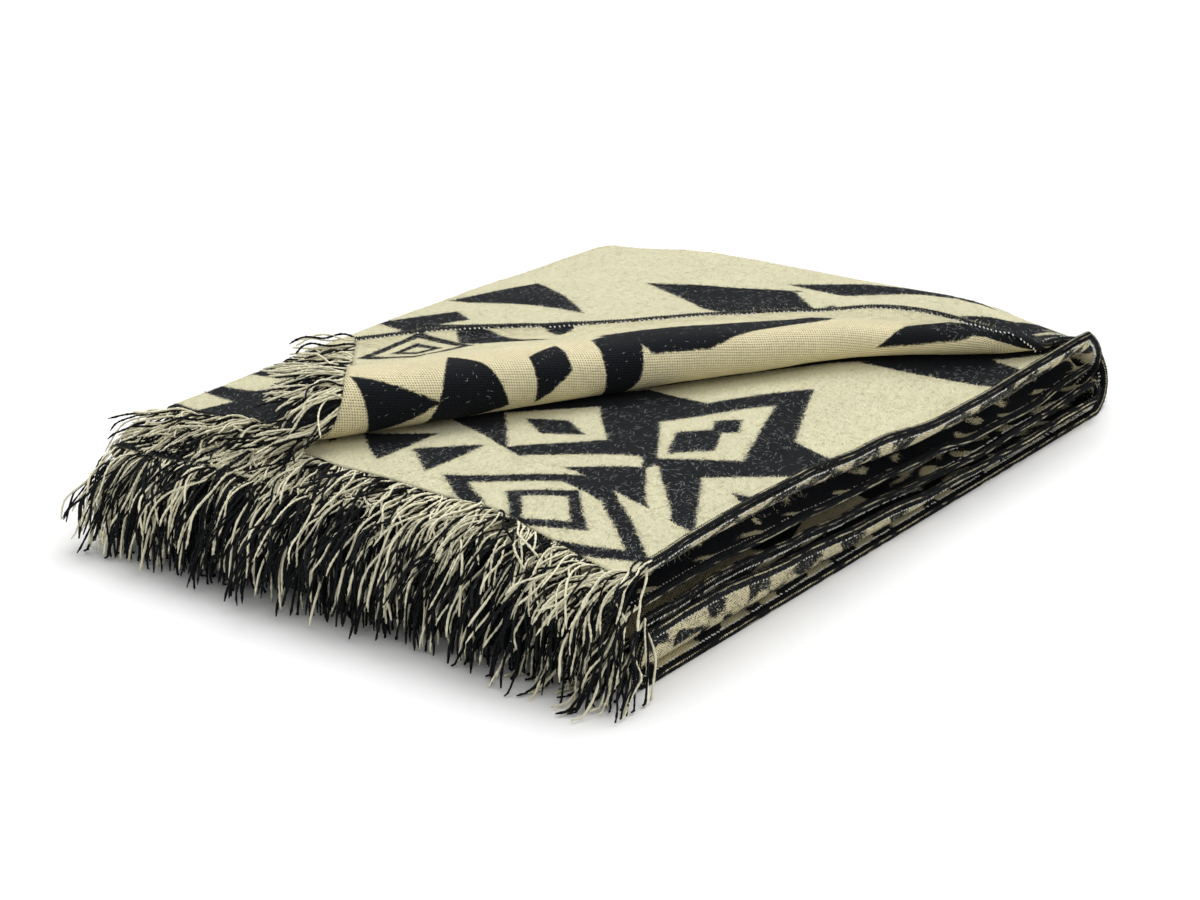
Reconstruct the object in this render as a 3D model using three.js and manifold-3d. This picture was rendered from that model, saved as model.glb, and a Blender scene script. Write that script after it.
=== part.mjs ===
// A fringed throw blanket, folded once across its width and twice along its length, so that it lies as a
// pad of eight layers. Its top layer is turned back over a slanting crease. Millimetres, +Z up.
// In the code, u runs along the hemmed side from the fringed ends, v runs along the fringed side from the
// hems to the back fold, and z is the height over the surface that the pad lies on.
import * as THREE from "three";
import { mergeVertices } from "three/addons/utils/BufferGeometryUtils.js";
import Module from "manifold-3d";

const wasm = await Module();
wasm.setup();

// Driving dimensions of the pad
const PAD_LENGTH = 500;
const PAD_WIDTH = 350;
const CLOTH_THICKNESS = 2.6;

// The layers from the top, 0, to the bottom, 7. near and far are the level of the middle of the cloth at
// the two ends. Just inside the hem it is at its tuck: a level, or a column of HEM_LINES with above over it.
// inset is how far the hem is set back, line is the column with the hem's own height, reach is how far in
// the upturned lip starts, and dip is how far the cloth sinks behind the lip.
const LAYERS = [
  { near: 66.2, far: 59.6, tuck: "ledge1", above: 5.6, inset: 0 },
  { near: 60.4, far: 54.0, tuck: "ledge1", above: 0, inset: 0, line: "first", reach: 18, dip: 0 },
  { near: 54.5, far: 48.5, tuck: "ledge2", above: 0, inset: 5, line: "second", reach: 14, dip: 7 },
  { near: 46.0, far: 41.0, tuck: 17.4, above: 0, inset: 2.5, line: "third", reach: 18, dip: 0 },
  { near: 37.0, far: 32.5, tuck: 13.3, above: 0, inset: 0, line: "fourth", reach: 14, dip: 7.8 },
  { near: 27.0, far: 24.0, tuck: 9.3, above: 0, inset: 30 },
  { near: 14.0, far: 12.5, tuck: 5.3, above: 0, inset: 28 },
  { near: 1.3, far: 1.3, tuck: 1.3, above: 0, inset: 3 },
];

// The heights along the hemmed side of the four hem lines that show, and of the two top ledges behind them
const HEM_LINES = [
  { u: 0, first: 66, second: 42, third: 36.5, fourth: 30, ledge1: 51.6, ledge2: 46.5 },
  { u: 60, first: 68, second: 43, third: 37, fourth: 31, ledge1: 52.5, ledge2: 47.3 },
  { u: 140, first: 67.5, second: 40, third: 33, fourth: 25, ledge1: 51, ledge2: 45.5 },
  { u: 200, first: 64, second: 37.5, third: 29, fourth: 21.5, ledge1: 47.5, ledge2: 42 },
  { u: 290, first: 56, second: 35, third: 22.5, fourth: 17, ledge1: 41, ledge2: 35.5 },
  { u: 340, first: 56, second: 29, third: 19.8, fourth: 14.5, ledge1: 38.5, ledge2: 32.5 },
  { u: 400, first: 57.5, second: 28, third: 20, fourth: 13.6, ledge1: 39, ledge2: 32.5 },
  { u: 480, first: 58, second: 33, third: 23, fourth: 13.6, ledge1: 41, ledge2: 35.5 },
];
const LIP_POWER = 2.2;
const DIP_START = 16; // a dip behind a lip fades out from here
const DIP_END = 28;
const TUCK_END = 20; // the layers lie close together up to here,
const SWELL_END = 100; // and at their full spacing from here on
const BACK_START = 270; // towards the back fold they close up again
const BACK_DROP = 0.12;

// Where the cloth's fringed ends and its turn at the fringed side lie, in u, along the fringed side
const NEAR_ENDS = [
  { v: 0, layer0: 40, layer1: 2, layer2: -1, layer3: 1, turn: 4 },
  { v: 60, layer0: 42, layer1: 12, layer2: 2, layer3: 4, turn: 6 },
  { v: 125, layer0: 45, layer1: 25, layer2: 5, layer3: 6, turn: 7 },
  { v: 200, layer0: 49, layer1: 33, layer2: 3, layer3: 5, turn: 8 },
  { v: 300, layer0: 56, layer1: 54, layer2: 10, layer3: 12, turn: 14 },
  { v: 350, layer0: 60, layer1: 62, layer2: 16, layer3: 18, turn: 20 },
];
const OUTER_TURN_START = 465; // the two top layers turn down from here at the far end,
const UNDER_TURN_START = 488; // and reach the two bottom ones here
const INNER_TURN_START = 480;

// The turned-back flap of the top layer. Its crease slants from the fringed end to the far end's hem.
const FLAP_HEM_NEAR = 46;
const FLAP_HEM_FAR = 24;
const CREASE_AT_NEAR_END = 274;
const CREASE_SLOPE = (CREASE_AT_NEAR_END - FLAP_HEM_FAR) / OUTER_TURN_START;
const CREASE_ANGLE = Math.atan(CREASE_SLOPE);
const ROLL_RADIUS = [
  { u: 0, radius: 15 },
  { u: 230, radius: 12 },
  { u: 380, radius: 7.5 },
  { u: OUTER_TURN_START, radius: 4.2 },
];
const SETTLE_HEIGHT = 4.4; // of the flap over the layer under it, centre to centre
const SETTLE_LENGTH = 105;

// Each leg of the cloth's way through the pad, for the half with the flap (a) and the half under it (b).
// A run goes along one layer. A turn goes from one layer to another round one end of the pad, and reaches
// past its start by base + share of half the height that it spans. crowd over 1 crowds a run's rows towards
// the far end.
const ROUTE = [
  { kind: "run", a: 0, b: 1, heading: "far", steps: 12, crowd: 1.5 },
  { kind: "turn", a: [0, 7], b: [1, 6], end: "outer", steps: 7 },
  { kind: "run", a: 7, b: 6, heading: "near", steps: 5, crowd: 1 },
  { kind: "turn", a: [7, 4], b: [6, 5], end: "near", steps: 6 },
  { kind: "run", a: 4, b: 5, heading: "far", steps: 7, crowd: 1 },
  { kind: "turn", a: [4, 3], b: [5, 2], end: "inner", steps: 5 },
  { kind: "run", a: 3, b: 2, heading: "near", steps: 7, crowd: 1 },
];
const TURN_REACH = {
  outer: { a: { base: 41, share: 0 }, b: { base: 34.5, share: 0 } },
  near: { a: { base: 3, share: 0.75 }, b: { base: 0, share: 1 } },
  inner: { a: { base: 0, share: 1 }, b: { base: 4, share: 0.8 } },
};

// Where the mesh has its lines across the cloth, as distances from the hem
const LINES_A = [0, 3, 6, 10, 14, 18, 22, 27, 33, 40, 48, 58, 70, 85, 110, 145, 190, 240, 295, 350];
const LINES_B = [0, 3, 7, 12, 18, 28, 60, 110, 190, 270, 350];
const FLAP_LINES = 6; // of LINES_A's steps, those on the flat of the flap
const ROLL_LINES = 7; // and those round its roll
const LEAST_LINE_GAP = 1.2;
const BACK_FOLD_STEPS = 4;

// Fringe: locks of twisted warp ends on a strip of fused roots, one strip for each fringed end that shows.
// reach and drop are how far a lock's tip lies out from and under its root where the end overhangs.
const ROOT_GAP = 0.35;
const ROOT_STRIP = 3;
const ROOT_HEIGHT = 2.2;
const LOCK_RADII = [1.25, 1.15, 0.7];
const LOCK_LENGTH = 44;
const OVERHANG_END = 26; // an end that is further in than this lies level on the layer below
const HANGING_POWER = 2; // over 1, locks hang only where the overhang is nearly whole
const LEVEL_DROP = 1.8;
const FLOOR_CLEARANCE = 0.8;
const FRINGES = [
  { name: "fringe_flap", layer: 0, locks: 40, reach: 40, drop: 15, colour: 0xb9b294 },
  { name: "fringe_top", layer: 1, locks: 56, reach: 40, drop: 38, colour: 0xcfc8a6 },
  { name: "fringe_middle", layer: 2, locks: 50, reach: 29, drop: 41, colour: 0x77745f },
  { name: "fringe_bottom", layer: 3, locks: 46, reach: 24, drop: 42, colour: 0x4a4a44 },
];

const { clamp, lerp, smoothstep } = THREE.MathUtils;

// A column of a table at a place between its rows, eased from row to row.
function column(table, key, at, name) {
  const next = table.findIndex((row) => row[key] > at);
  if (next === 0) return table[0][name];
  if (next < 0) return table[table.length - 1][name];
  const [low, high] = [table[next - 1], table[next]];
  return lerp(low[name], high[name], smoothstep(at, low[key], high[key]));
}

// The slow unevenness of a soft pile of cloth, at the height of its top.
function unevenness(u, v) {
  return 1.3 * Math.sin(u / 70 + 0.6) * Math.cos(v / 90) + 0.9 * Math.sin(v / 55 + u / 160);
}

// The height of the middle of a layer's cloth.
function layerHeight(index, u, v) {
  const layer = LAYERS[index];
  const closed = 1 - BACK_DROP * smoothstep(v, BACK_START, PAD_WIDTH);
  const level = lerp(layer.near, layer.far, clamp(u / PAD_LENGTH, 0, 1));
  const soft = unevenness(u, v) * ((level - LAYERS[7].near) / LAYERS[1].near);
  const body = LAYERS[7].near + (level - LAYERS[7].near) * closed + soft;
  const ledge = typeof layer.tuck === "string" ? column(HEM_LINES, "u", u, layer.tuck) : layer.tuck;
  const tuck = ledge + layer.above;
  const base = lerp(tuck, body, smoothstep(v, TUCK_END, SWELL_END));
  if (!layer.line) return base;
  const inLip = clamp((v - layer.inset) / layer.reach, 0, 1);
  const lip = (column(HEM_LINES, "u", u, layer.line) - tuck + layer.dip) * (1 - inLip) ** LIP_POWER;
  return base + lip - layer.dip * (1 - smoothstep(v, DIP_START, DIP_END));
}

// The v of the flap's crease.
function creaseAt(u) {
  return CREASE_AT_NEAR_END - CREASE_SLOPE * u;
}

// A point of the top layer, or of the flap where v is on the hem's side of the crease.
function topLayerPoint(u, v) {
  const past = (creaseAt(u) - v) * Math.cos(CREASE_ANGLE);
  if (past <= 0) return new THREE.Vector3(u, v, layerHeight(0, u, v));
  const across = new THREE.Vector2(Math.sin(CREASE_ANGLE), Math.cos(CREASE_ANGLE));
  const foot = new THREE.Vector2(u, v).addScaledVector(across, past);
  const radius = column(ROLL_RADIUS, "u", foot.x, "radius");
  const round = past / radius;
  if (round < Math.PI) {
    const lift = radius * (1 - Math.cos(round));
    const front = foot.clone().addScaledVector(across, -radius * Math.sin(round));
    return new THREE.Vector3(front.x, front.y, layerHeight(0, foot.x, foot.y) + lift);
  }
  const behind = past - Math.PI * radius;
  const place = foot.clone().addScaledVector(across, behind);
  const settled = smoothstep(behind, 0, SETTLE_LENGTH);
  const lift = lerp(2 * radius, SETTLE_HEIGHT, settled);
  return new THREE.Vector3(place.x, place.y, layerHeight(0, place.x, Math.min(place.y, PAD_WIDTH)) + lift);
}

function hemInset(index, u) {
  if (index > 0) return LAYERS[index].inset;
  return lerp(FLAP_HEM_NEAR, FLAP_HEM_FAR, clamp(u / OUTER_TURN_START, 0, 1));
}

function farStart(index) {
  if (index < 2) return OUTER_TURN_START;
  return index > 5 ? UNDER_TURN_START : INNER_TURN_START;
}

function nearEnd(index, v) {
  return column(NEAR_ENDS, "v", v, index < 4 ? "layer" + index : "turn");
}

// The v of each mesh line of one half of the cloth on one layer.
function meshLines(half, index, u) {
  const inset = hemInset(index, u);
  const lines = half === "a" ? LINES_A : LINES_B;
  if (index > 0) return lines.map((line) => inset + (line * (PAD_WIDTH - inset)) / PAD_WIDTH);
  const crease = creaseAt(u);
  const rollWidth = (Math.PI * column(ROLL_RADIUS, "u", u, "radius")) / Math.cos(CREASE_ANGLE);
  const rollStart = Math.max(inset, crease - rollWidth);
  const rollEnd = FLAP_LINES + ROLL_LINES;
  return lines.map((line, i) => {
    const least = inset + i * LEAST_LINE_GAP;
    if (i <= FLAP_LINES) return Math.max(least, lerp(inset, rollStart, i / FLAP_LINES));
    if (i <= rollEnd) return Math.max(least, lerp(rollStart, crease, (i - FLAP_LINES) / ROLL_LINES));
    const last = Math.max(inset + rollEnd * LEAST_LINE_GAP, crease);
    return lerp(last, PAD_WIDTH, (i - rollEnd) / (lines.length - 1 - rollEnd));
  });
}

// A row of points of one half of the cloth, across it from the hem, part way along a leg of its route.
function halfRow(half, leg, part) {
  if (leg.kind === "run") {
    const index = leg[half];
    const along = 1 - (leg.heading === "far" ? 1 - part : part) ** leg.crowd;
    const place = (v) => lerp(nearEnd(index, v), farStart(index), along);
    return meshLines(half, index, place(creaseAt(place(creaseAt(place(PAD_WIDTH)))))).map((v) => {
      const u = place(v);
      return index === 0 ? topLayerPoint(u, v) : new THREE.Vector3(u, v, layerHeight(index, u, v));
    });
  }
  const [from, to] = leg[half];
  const linesFrom = meshLines(half, from, OUTER_TURN_START);
  const linesTo = meshLines(half, to, OUTER_TURN_START);
  const { base, share } = TURN_REACH[leg.end][half];
  return linesFrom.map((line, i) => {
    const v = lerp(line, linesTo[i], part);
    const [first, last] = leg.end === "near" ? [nearEnd(from, v), nearEnd(to, v)] : [farStart(from), farStart(to)];
    const [z0, z1] = [layerHeight(from, first, v), layerHeight(to, last, v)];
    const reach = base + (share * Math.abs(z1 - z0)) / 2;
    const u = lerp(first, last, part) + reach * Math.sin(Math.PI * part) * (leg.end === "near" ? -1 : 1);
    return new THREE.Vector3(u, v, lerp(z0, z1, (1 - Math.cos(Math.PI * part)) / 2));
  });
}

// A whole row: half a from its hem, the fold at the back, and half b back to its own hem.
function clothRow(leg, part) {
  const rowA = halfRow("a", leg, part);
  const rowB = halfRow("b", leg, part).reverse();
  const [endA, endB] = [rowA[rowA.length - 1], rowB[0]];
  const middle = endA.clone().add(endB).multiplyScalar(0.5);
  const arm = endA.clone().sub(middle);
  const fold = [];
  for (let i = 1; i < BACK_FOLD_STEPS; i++) {
    const angle = (Math.PI * i) / BACK_FOLD_STEPS;
    const point = middle.clone().addScaledVector(arm, Math.cos(angle));
    fold.push(point.setY(point.y + arm.length() * Math.sin(angle)));
  }
  return [...rowA, ...fold, ...rowB];
}

function clothGrid() {
  const rows = [];
  ROUTE.forEach((leg, n) => {
    for (let step = n ? 1 : 0; step <= leg.steps; step++) rows.push(clothRow(leg, step / leg.steps));
  });
  return rows;
}

function gridNormal(grid, i, j) {
  const [before, after] = [grid[Math.max(i - 1, 0)], grid[Math.min(i + 1, grid.length - 1)]];
  const row = grid[i];
  const along = after[j].clone().sub(before[j]);
  const across = row[Math.min(j + 1, row.length - 1)].clone().sub(row[Math.max(j - 1, 0)]);
  return along.cross(across).normalize();
}

// A closed shell of even thickness round a grid of points.
function thickened(grid, thickness) {
  const [rows, columns] = [grid.length, grid[0].length];
  const positions = [];
  for (const side of [0.5, -0.5])
    for (let i = 0; i < rows; i++)
      for (let j = 0; j < columns; j++) {
        const point = grid[i][j].clone().addScaledVector(gridNormal(grid, i, j), side * thickness);
        positions.push(point.x, point.y, point.z);
      }
  const at = (side, i, j) => (side * rows + i) * columns + j;
  const faces = [];
  const quad = (a, b, c, d) => faces.push(a, b, c, a, c, d);
  for (let i = 0; i + 1 < rows; i++)
    for (let j = 0; j + 1 < columns; j++) {
      quad(at(0, i, j), at(0, i + 1, j), at(0, i + 1, j + 1), at(0, i, j + 1));
      quad(at(1, i, j), at(1, i, j + 1), at(1, i + 1, j + 1), at(1, i + 1, j));
    }
  const last = [rows - 1, columns - 1];
  for (let i = 0; i + 1 < rows; i++) {
    quad(at(0, i, 0), at(1, i, 0), at(1, i + 1, 0), at(0, i + 1, 0));
    quad(at(0, i + 1, last[1]), at(1, i + 1, last[1]), at(1, i, last[1]), at(0, i, last[1]));
  }
  for (let j = 0; j + 1 < columns; j++) {
    quad(at(0, 0, j + 1), at(1, 0, j + 1), at(1, 0, j), at(0, 0, j));
    quad(at(0, last[0], j), at(1, last[0], j), at(1, last[0], j + 1), at(0, last[0], j + 1));
  }
  return closedGeometry(positions, faces);
}

// A closed solid through rings of points that all have the same number of corners.
function lofted(rings) {
  const corners = rings[0].length;
  const positions = rings.flat().flatMap((point) => [point.x, point.y, point.z]);
  const faces = [];
  for (let i = 0; i + 1 < rings.length; i++)
    for (let j = 0; j < corners; j++) {
      const [a, b] = [i * corners + j, i * corners + ((j + 1) % corners)];
      faces.push(a, b, b + corners, a, b + corners, a + corners);
    }
  const end = (rings.length - 1) * corners;
  for (let j = 1; j + 1 < corners; j++) faces.push(0, j + 1, j, end, end + j, end + j + 1);
  return closedGeometry(positions, faces);
}

function closedGeometry(positions, faces) {
  const corner = (n) => new THREE.Vector3().fromArray(positions, 3 * n);
  let volume = 0;
  for (let n = 0; n < faces.length; n += 3)
    volume += corner(faces[n]).dot(corner(faces[n + 1]).cross(corner(faces[n + 2])));
  if (volume < 0)
    for (let n = 0; n < faces.length; n += 3) [faces[n + 1], faces[n + 2]] = [faces[n + 2], faces[n + 1]];
  const geometry = new THREE.BufferGeometry();
  geometry.setAttribute("position", new THREE.Float32BufferAttribute(positions, 3));
  return geometry.setIndex(faces);
}

function solidOf(geometry) {
  const merged = mergeVertices(geometry);
  return new wasm.Manifold(
    new wasm.Mesh({
      numProp: 3,
      vertProperties: merged.attributes.position.array,
      triVerts: new Uint32Array(merged.index.array),
    }),
  );
}

function geometryOf(solid) {
  const { vertProperties, triVerts } = solid.getMesh();
  const geometry = new THREE.BufferGeometry();
  geometry.setAttribute("position", new THREE.BufferAttribute(vertProperties, 3));
  return geometry.setIndex(new THREE.BufferAttribute(triVerts, 1));
}

// The fringed end of one layer as a line of points, each with its way out of the cloth and its upright.
function fringedEnd(grid, index) {
  const first = index < 2;
  const [edge, inside] = first ? [0, 1] : [grid.length - 1, grid.length - 2];
  const count = index === 0 || index === 3 ? LINES_A.length : LINES_B.length;
  const offset = index === 0 || index === 3 ? 0 : grid[0].length - count;
  const stations = [];
  for (let k = 0; k < count; k++) {
    const j = offset + k;
    const point = grid[edge][j];
    const out = point.clone().sub(grid[inside][j]).normalize();
    stations.push({ point, out, normal: gridNormal(grid, edge, j) });
  }
  return index === 0 || index === 3 ? stations : stations.reverse();
}

// The station at a share of the line's length.
function stationAt(stations, share) {
  const lengths = [0];
  for (let i = 1; i < stations.length; i++)
    lengths.push(lengths[i - 1] + stations[i].point.distanceTo(stations[i - 1].point));
  const goal = share * lengths[lengths.length - 1];
  const i = Math.min(lengths.findLastIndex((length) => length <= goal), stations.length - 2);
  const part = (goal - lengths[i]) / (lengths[i + 1] - lengths[i]);
  const mix = (key) => stations[i][key].clone().lerp(stations[i + 1][key], part);
  return { point: mix("point"), out: mix("out").normalize(), normal: mix("normal").normalize() };
}

function rootStrip(stations) {
  const corner = ({ point, out, normal }, away, up) =>
    point.clone().addScaledVector(out, away).addScaledVector(normal, up * ROOT_HEIGHT);
  const far = ROOT_GAP + ROOT_STRIP;
  return lofted(
    stations.map((station) => [
      corner(station, ROOT_GAP, -0.5),
      corner(station, far, -0.5),
      corner(station, far, 0.5),
      corner(station, ROOT_GAP, 0.5),
    ]),
  );
}

// How uneven the lock with this number is, between -1 and 1, in one of several ways.
function uneven(number, way) {
  return Math.sin(number * (2.3 + 0.9 * way) + 1.7 * way);
}

// Where a lock's tip lies. On the flap it sinks to the layer under it, elsewhere it hangs past the pad.
function lockTip(fringe, root, out, number) {
  const scale = 1 + 0.1 * uneven(number, 1);
  const level = new THREE.Vector3(out.x, out.y, 0).normalize();
  if (fringe.layer === 0) {
    const tip = root.clone().addScaledVector(level, fringe.reach * scale);
    const rest = layerHeight(0, tip.x, Math.min(tip.y, PAD_WIDTH)) + CLOTH_THICKNESS + LOCK_RADII[0];
    return tip.setZ(Math.max(root.z - fringe.drop, Math.min(rest, root.z - 1)));
  }
  const overhang = root.x - nearEnd(fringe.layer + 1, root.y);
  const hanging = (1 - smoothstep(overhang, 0, OVERHANG_END)) ** HANGING_POWER;
  const drop = lerp(LEVEL_DROP, fringe.drop * scale, hanging);
  const reach = lerp(LOCK_LENGTH - 2, fringe.reach * scale, hanging);
  const tip = root.clone().addScaledVector(level, reach);
  return tip.setZ(Math.max(root.z - drop, FLOOR_CLEARANCE + LOCK_RADII[0]));
}

function lock(fringe, station, number) {
  const root = station.point.clone().addScaledVector(station.out, ROOT_GAP + ROOT_STRIP / 2);
  const tip = lockTip(fringe, root, station.out, number);
  const bend = root.clone().lerp(tip, 0.75).setZ(lerp(root.z, tip.z, fringe.layer === 0 ? 0.3 : 0.08));
  const path = new THREE.QuadraticBezierCurve3(root, bend, tip);
  const sideways = new THREE.Vector3(-station.out.y, station.out.x, 0).normalize();
  return lofted(
    LOCK_RADII.map((radius, i) => {
      const part = i / (LOCK_RADII.length - 1);
      const ahead = path.getTangent(part);
      const middle = path.getPoint(part).addScaledVector(sideways, 0.5 * part * uneven(number, 3));
      const lift = sideways.clone().cross(ahead).normalize();
      return [0, 1, 2].map((corner) => {
        const angle = (2 * Math.PI * corner) / 3 + 0.5;
        const turned = sideways.clone().multiplyScalar(Math.cos(angle));
        return middle.clone().addScaledVector(turned.addScaledVector(lift, Math.sin(angle)), radius);
      });
    }),
  );
}

function fringeGeometry(grid, fringe) {
  const stations = fringedEnd(grid, fringe.layer);
  let solid = solidOf(rootStrip(stations));
  for (let number = 0; number < fringe.locks; number++) {
    const station = stationAt(stations, (number + 0.5) / fringe.locks);
    solid = solid.add(solidOf(lock(fringe, station, number)));
  }
  return geometryOf(solid);
}

function named(name, geometry, color) {
  const material = new THREE.MeshStandardMaterial({ color, roughness: 0.95, metalness: 0 });
  const mesh = new THREE.Mesh(geometry, material);
  mesh.name = name;
  return mesh;
}

const grid = clothGrid();
const blanket = new THREE.Group();
blanket.add(named("blanket_cloth", thickened(grid, CLOTH_THICKNESS), 0xd8cfa6));
for (const fringe of FRINGES) blanket.add(named(fringe.name, fringeGeometry(grid, fringe), fringe.colour));

// The origin is on the surface that the pad lies on, under the middle of its outline.
const outline = new THREE.Box3().setFromObject(blanket);
const middle = outline.getCenter(new THREE.Vector3());
blanket.position.set(-middle.x, -middle.y, -outline.min.z);

export default blanket;
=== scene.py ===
"""A folded throw blanket with overlocked hems, a turned-back flap and twisted fringe, on a studio floor."""

import logging
import math
from dataclasses import dataclass, field
from enum import Enum
from typing import Sequence

import bpy
import numpy as np
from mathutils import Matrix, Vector


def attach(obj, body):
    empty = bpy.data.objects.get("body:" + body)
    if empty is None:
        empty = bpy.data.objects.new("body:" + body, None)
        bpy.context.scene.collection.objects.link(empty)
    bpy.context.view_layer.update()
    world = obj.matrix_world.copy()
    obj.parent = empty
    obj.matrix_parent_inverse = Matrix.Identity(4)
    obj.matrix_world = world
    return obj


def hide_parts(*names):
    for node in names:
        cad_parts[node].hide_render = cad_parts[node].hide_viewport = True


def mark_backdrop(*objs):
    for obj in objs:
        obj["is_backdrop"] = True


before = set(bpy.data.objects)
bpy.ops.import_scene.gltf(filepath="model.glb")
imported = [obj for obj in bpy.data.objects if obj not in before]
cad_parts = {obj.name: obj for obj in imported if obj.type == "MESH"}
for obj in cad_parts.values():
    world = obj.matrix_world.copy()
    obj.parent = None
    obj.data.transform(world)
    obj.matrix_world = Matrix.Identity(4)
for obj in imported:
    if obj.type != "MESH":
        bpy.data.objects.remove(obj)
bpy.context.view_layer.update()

LOG = logging.getLogger("throw_blanket")
MM = 0.001
Array = np.ndarray
Socket = bpy.types.NodeSocket
Value = Socket | float
Colour = tuple[float, float, float, float]
STEEP_TUBE = 0.8  # over this mean rise, a tube's section is set by a level line instead of an upright one


# Helpers


def smoothstep(x: Array, low: float, high: float) -> Array:
    """The smooth step from 0 at low to 1 at high."""
    t = np.clip((np.asarray(x, float) - low) / (high - low), 0, 1)
    return t * t * (3 - 2 * t)


def unit(vectors: Array) -> Array:
    """The vectors along the last axis, each at length one."""
    return vectors / np.maximum(np.linalg.norm(vectors, axis=-1, keepdims=True), 1e-12)


def value_noise(points: Array, cell: float, seed: int) -> Array:
    """Smooth noise from -1 to 1 over points of one, two or three dimensions.

    Args:
        points: the places, one row each.
        cell: the size of one cell of the noise, in the points' unit.
        seed: which noise it is.

    Returns:
        One value for each row.
    """
    places = np.atleast_2d(points) / cell
    base = np.floor(places).astype(np.int64)
    part = places - base
    ease = part * part * (3 - 2 * part)
    total = np.zeros(len(places))
    dims = places.shape[1]
    for corner in range(2**dims):
        offset = np.array([(corner >> k) & 1 for k in range(dims)])
        cellid = base + offset
        code = np.full(len(places), seed * 7919 + 104729, dtype=np.int64)
        for k in range(dims):
            code = (code ^ (cellid[:, k] * (73856093, 19349663, 83492791)[k])) * 1103515245 + 12345
            code &= 0x7FFFFFFF
        value = (code >> 8) % 65536 / 32767.5 - 1
        weight = np.prod(np.where(offset, ease, 1 - ease), axis=1)
        total += value * weight
    return total


@dataclass(frozen=True)
class EasedTable:
    """Values at places along a line, eased from one to the next."""

    at: tuple[float, ...]
    values: tuple[float, ...]

    def __call__(self, x: Array) -> Array:
        """The value at each place.

        Args:
            x: the places along the line.

        Returns:
            One value for each place, held at the ends.
        """
        places, values = np.asarray(self.at, float), np.asarray(self.values, float)
        i = np.clip(np.searchsorted(places, x, side="right") - 1, 0, len(places) - 2)
        t = np.clip((x - places[i]) / (places[i + 1] - places[i]), 0, 1)
        return values[i] + (values[i + 1] - values[i]) * t * t * (3 - 2 * t)


def mesh_object(name: str, verts: Array, faces: Array, smooth: bool = True) -> bpy.types.Object:
    """A new object from points in millimetres of the row frame.

    Args:
        name: the piece's name.
        verts: the points, one row each, in millimetres.
        faces: rows of three or four point numbers.
        smooth: whether it is shaded smooth.

    Returns:
        The object, linked to the scene.
    """
    mesh = bpy.data.meshes.new(name)
    sides = faces.shape[1]
    mesh.vertices.add(len(verts))
    mesh.vertices.foreach_set("co", (verts * MM).astype(np.float32).ravel())
    mesh.loops.add(faces.size)
    mesh.loops.foreach_set("vertex_index", faces.astype(np.int32).ravel())
    mesh.polygons.add(len(faces))
    mesh.polygons.foreach_set("loop_start", np.arange(0, faces.size, sides, dtype=np.int32))
    mesh.polygons.foreach_set("loop_total", np.full(len(faces), sides, dtype=np.int32))
    mesh.update(calc_edges=True)
    mesh.validate()
    if smooth:
        mesh.polygons.foreach_set("use_smooth", np.ones(len(mesh.polygons), dtype=bool))
    piece = bpy.data.objects.new(name, mesh)
    bpy.context.scene.collection.objects.link(piece)
    return piece


def point_values(piece: bpy.types.Object, name: str, values: Array) -> None:
    """Stores a float or a vector on each point of a piece, for its material to read.

    Args:
        piece: the piece.
        name: the name that the material reads.
        values: one float, or one row of three, for each point.
    """
    kind, key = ("FLOAT", "value") if values.ndim == 1 else ("FLOAT_VECTOR", "vector")
    attribute = piece.data.attributes.new(name, kind, "POINT")
    attribute.data.foreach_set(key, values.astype(np.float32).ravel())


def tubes(
    paths: Array, radii: Array, sides: int, lobes: float = 0.0, turns: Array | None = None
) -> tuple[Array, Array]:
    """Tubes along many paths at once.

    Args:
        paths: middle lines, as (tube, step, xyz).
        radii: (tube, step) radii.
        sides: corners round each tube. Only tubes with an even number of them get ends.
        lobes: how far a section is drawn in at the groove between two plies, from 0 to 1.
        turns: (tube, step) angles that the two lobes have turned to, in radians.

    Returns:
        The points and the faces, all faces with four corners.
    """
    count, steps = paths.shape[:2]
    ahead = unit(np.gradient(paths, axis=1))
    reference = np.zeros_like(ahead)
    steep = np.abs(ahead[..., 2]).mean(axis=1) > STEEP_TUBE
    reference[..., 2] = 1
    reference[steep] = (0.8, 0.6, 0)
    side = unit(np.cross(ahead, reference))
    lift = np.cross(side, ahead)
    angle = np.arange(sides) * 2 * math.pi / sides
    rounds = np.broadcast_to(angle, (count, steps, sides))
    if turns is not None:
        rounds = rounds + turns[..., None]
    reach = radii[..., None] * (1 + lobes * np.cos(2 * angle))
    ring = (
        paths[:, :, None]
        + (reach * np.cos(rounds))[..., None] * side[:, :, None]
        + (reach * np.sin(rounds))[..., None] * lift[:, :, None]
    )
    verts = ring.reshape(-1, 3)
    tube, step, corner = np.meshgrid(np.arange(count), np.arange(steps - 1), np.arange(sides), indexing="ij")
    at = (tube * steps + step) * sides
    after = (corner + 1) % sides
    faces = np.stack([at + corner, at + after, at + sides + after, at + sides + corner], -1).reshape(-1, 4)
    if sides % 2:
        return verts, faces
    parts = [faces]
    for first in (np.arange(count) * steps * sides, (np.arange(count) * steps + steps - 1) * sides):
        for k in range(1, sides - 1, 2):
            parts.append(np.stack([first, first + k, first + k + 1, first + min(k + 2, sides - 1)], -1))
    return verts, np.concatenate(parts)


# The folded form


class Half(Enum):
    """The two halves of the cloth's width, each from its own hem to the fold at the back."""

    A = "a"
    B = "b"


class Way(Enum):
    """The ways that a stretch of the cloth can go."""

    FAR = "along a layer to the far end"
    NEAR = "along a layer to the near end"
    OUTER = "round the far end, outside"
    INNER = "round the far end, inside"
    NEAR_TURN = "round the near end"


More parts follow.
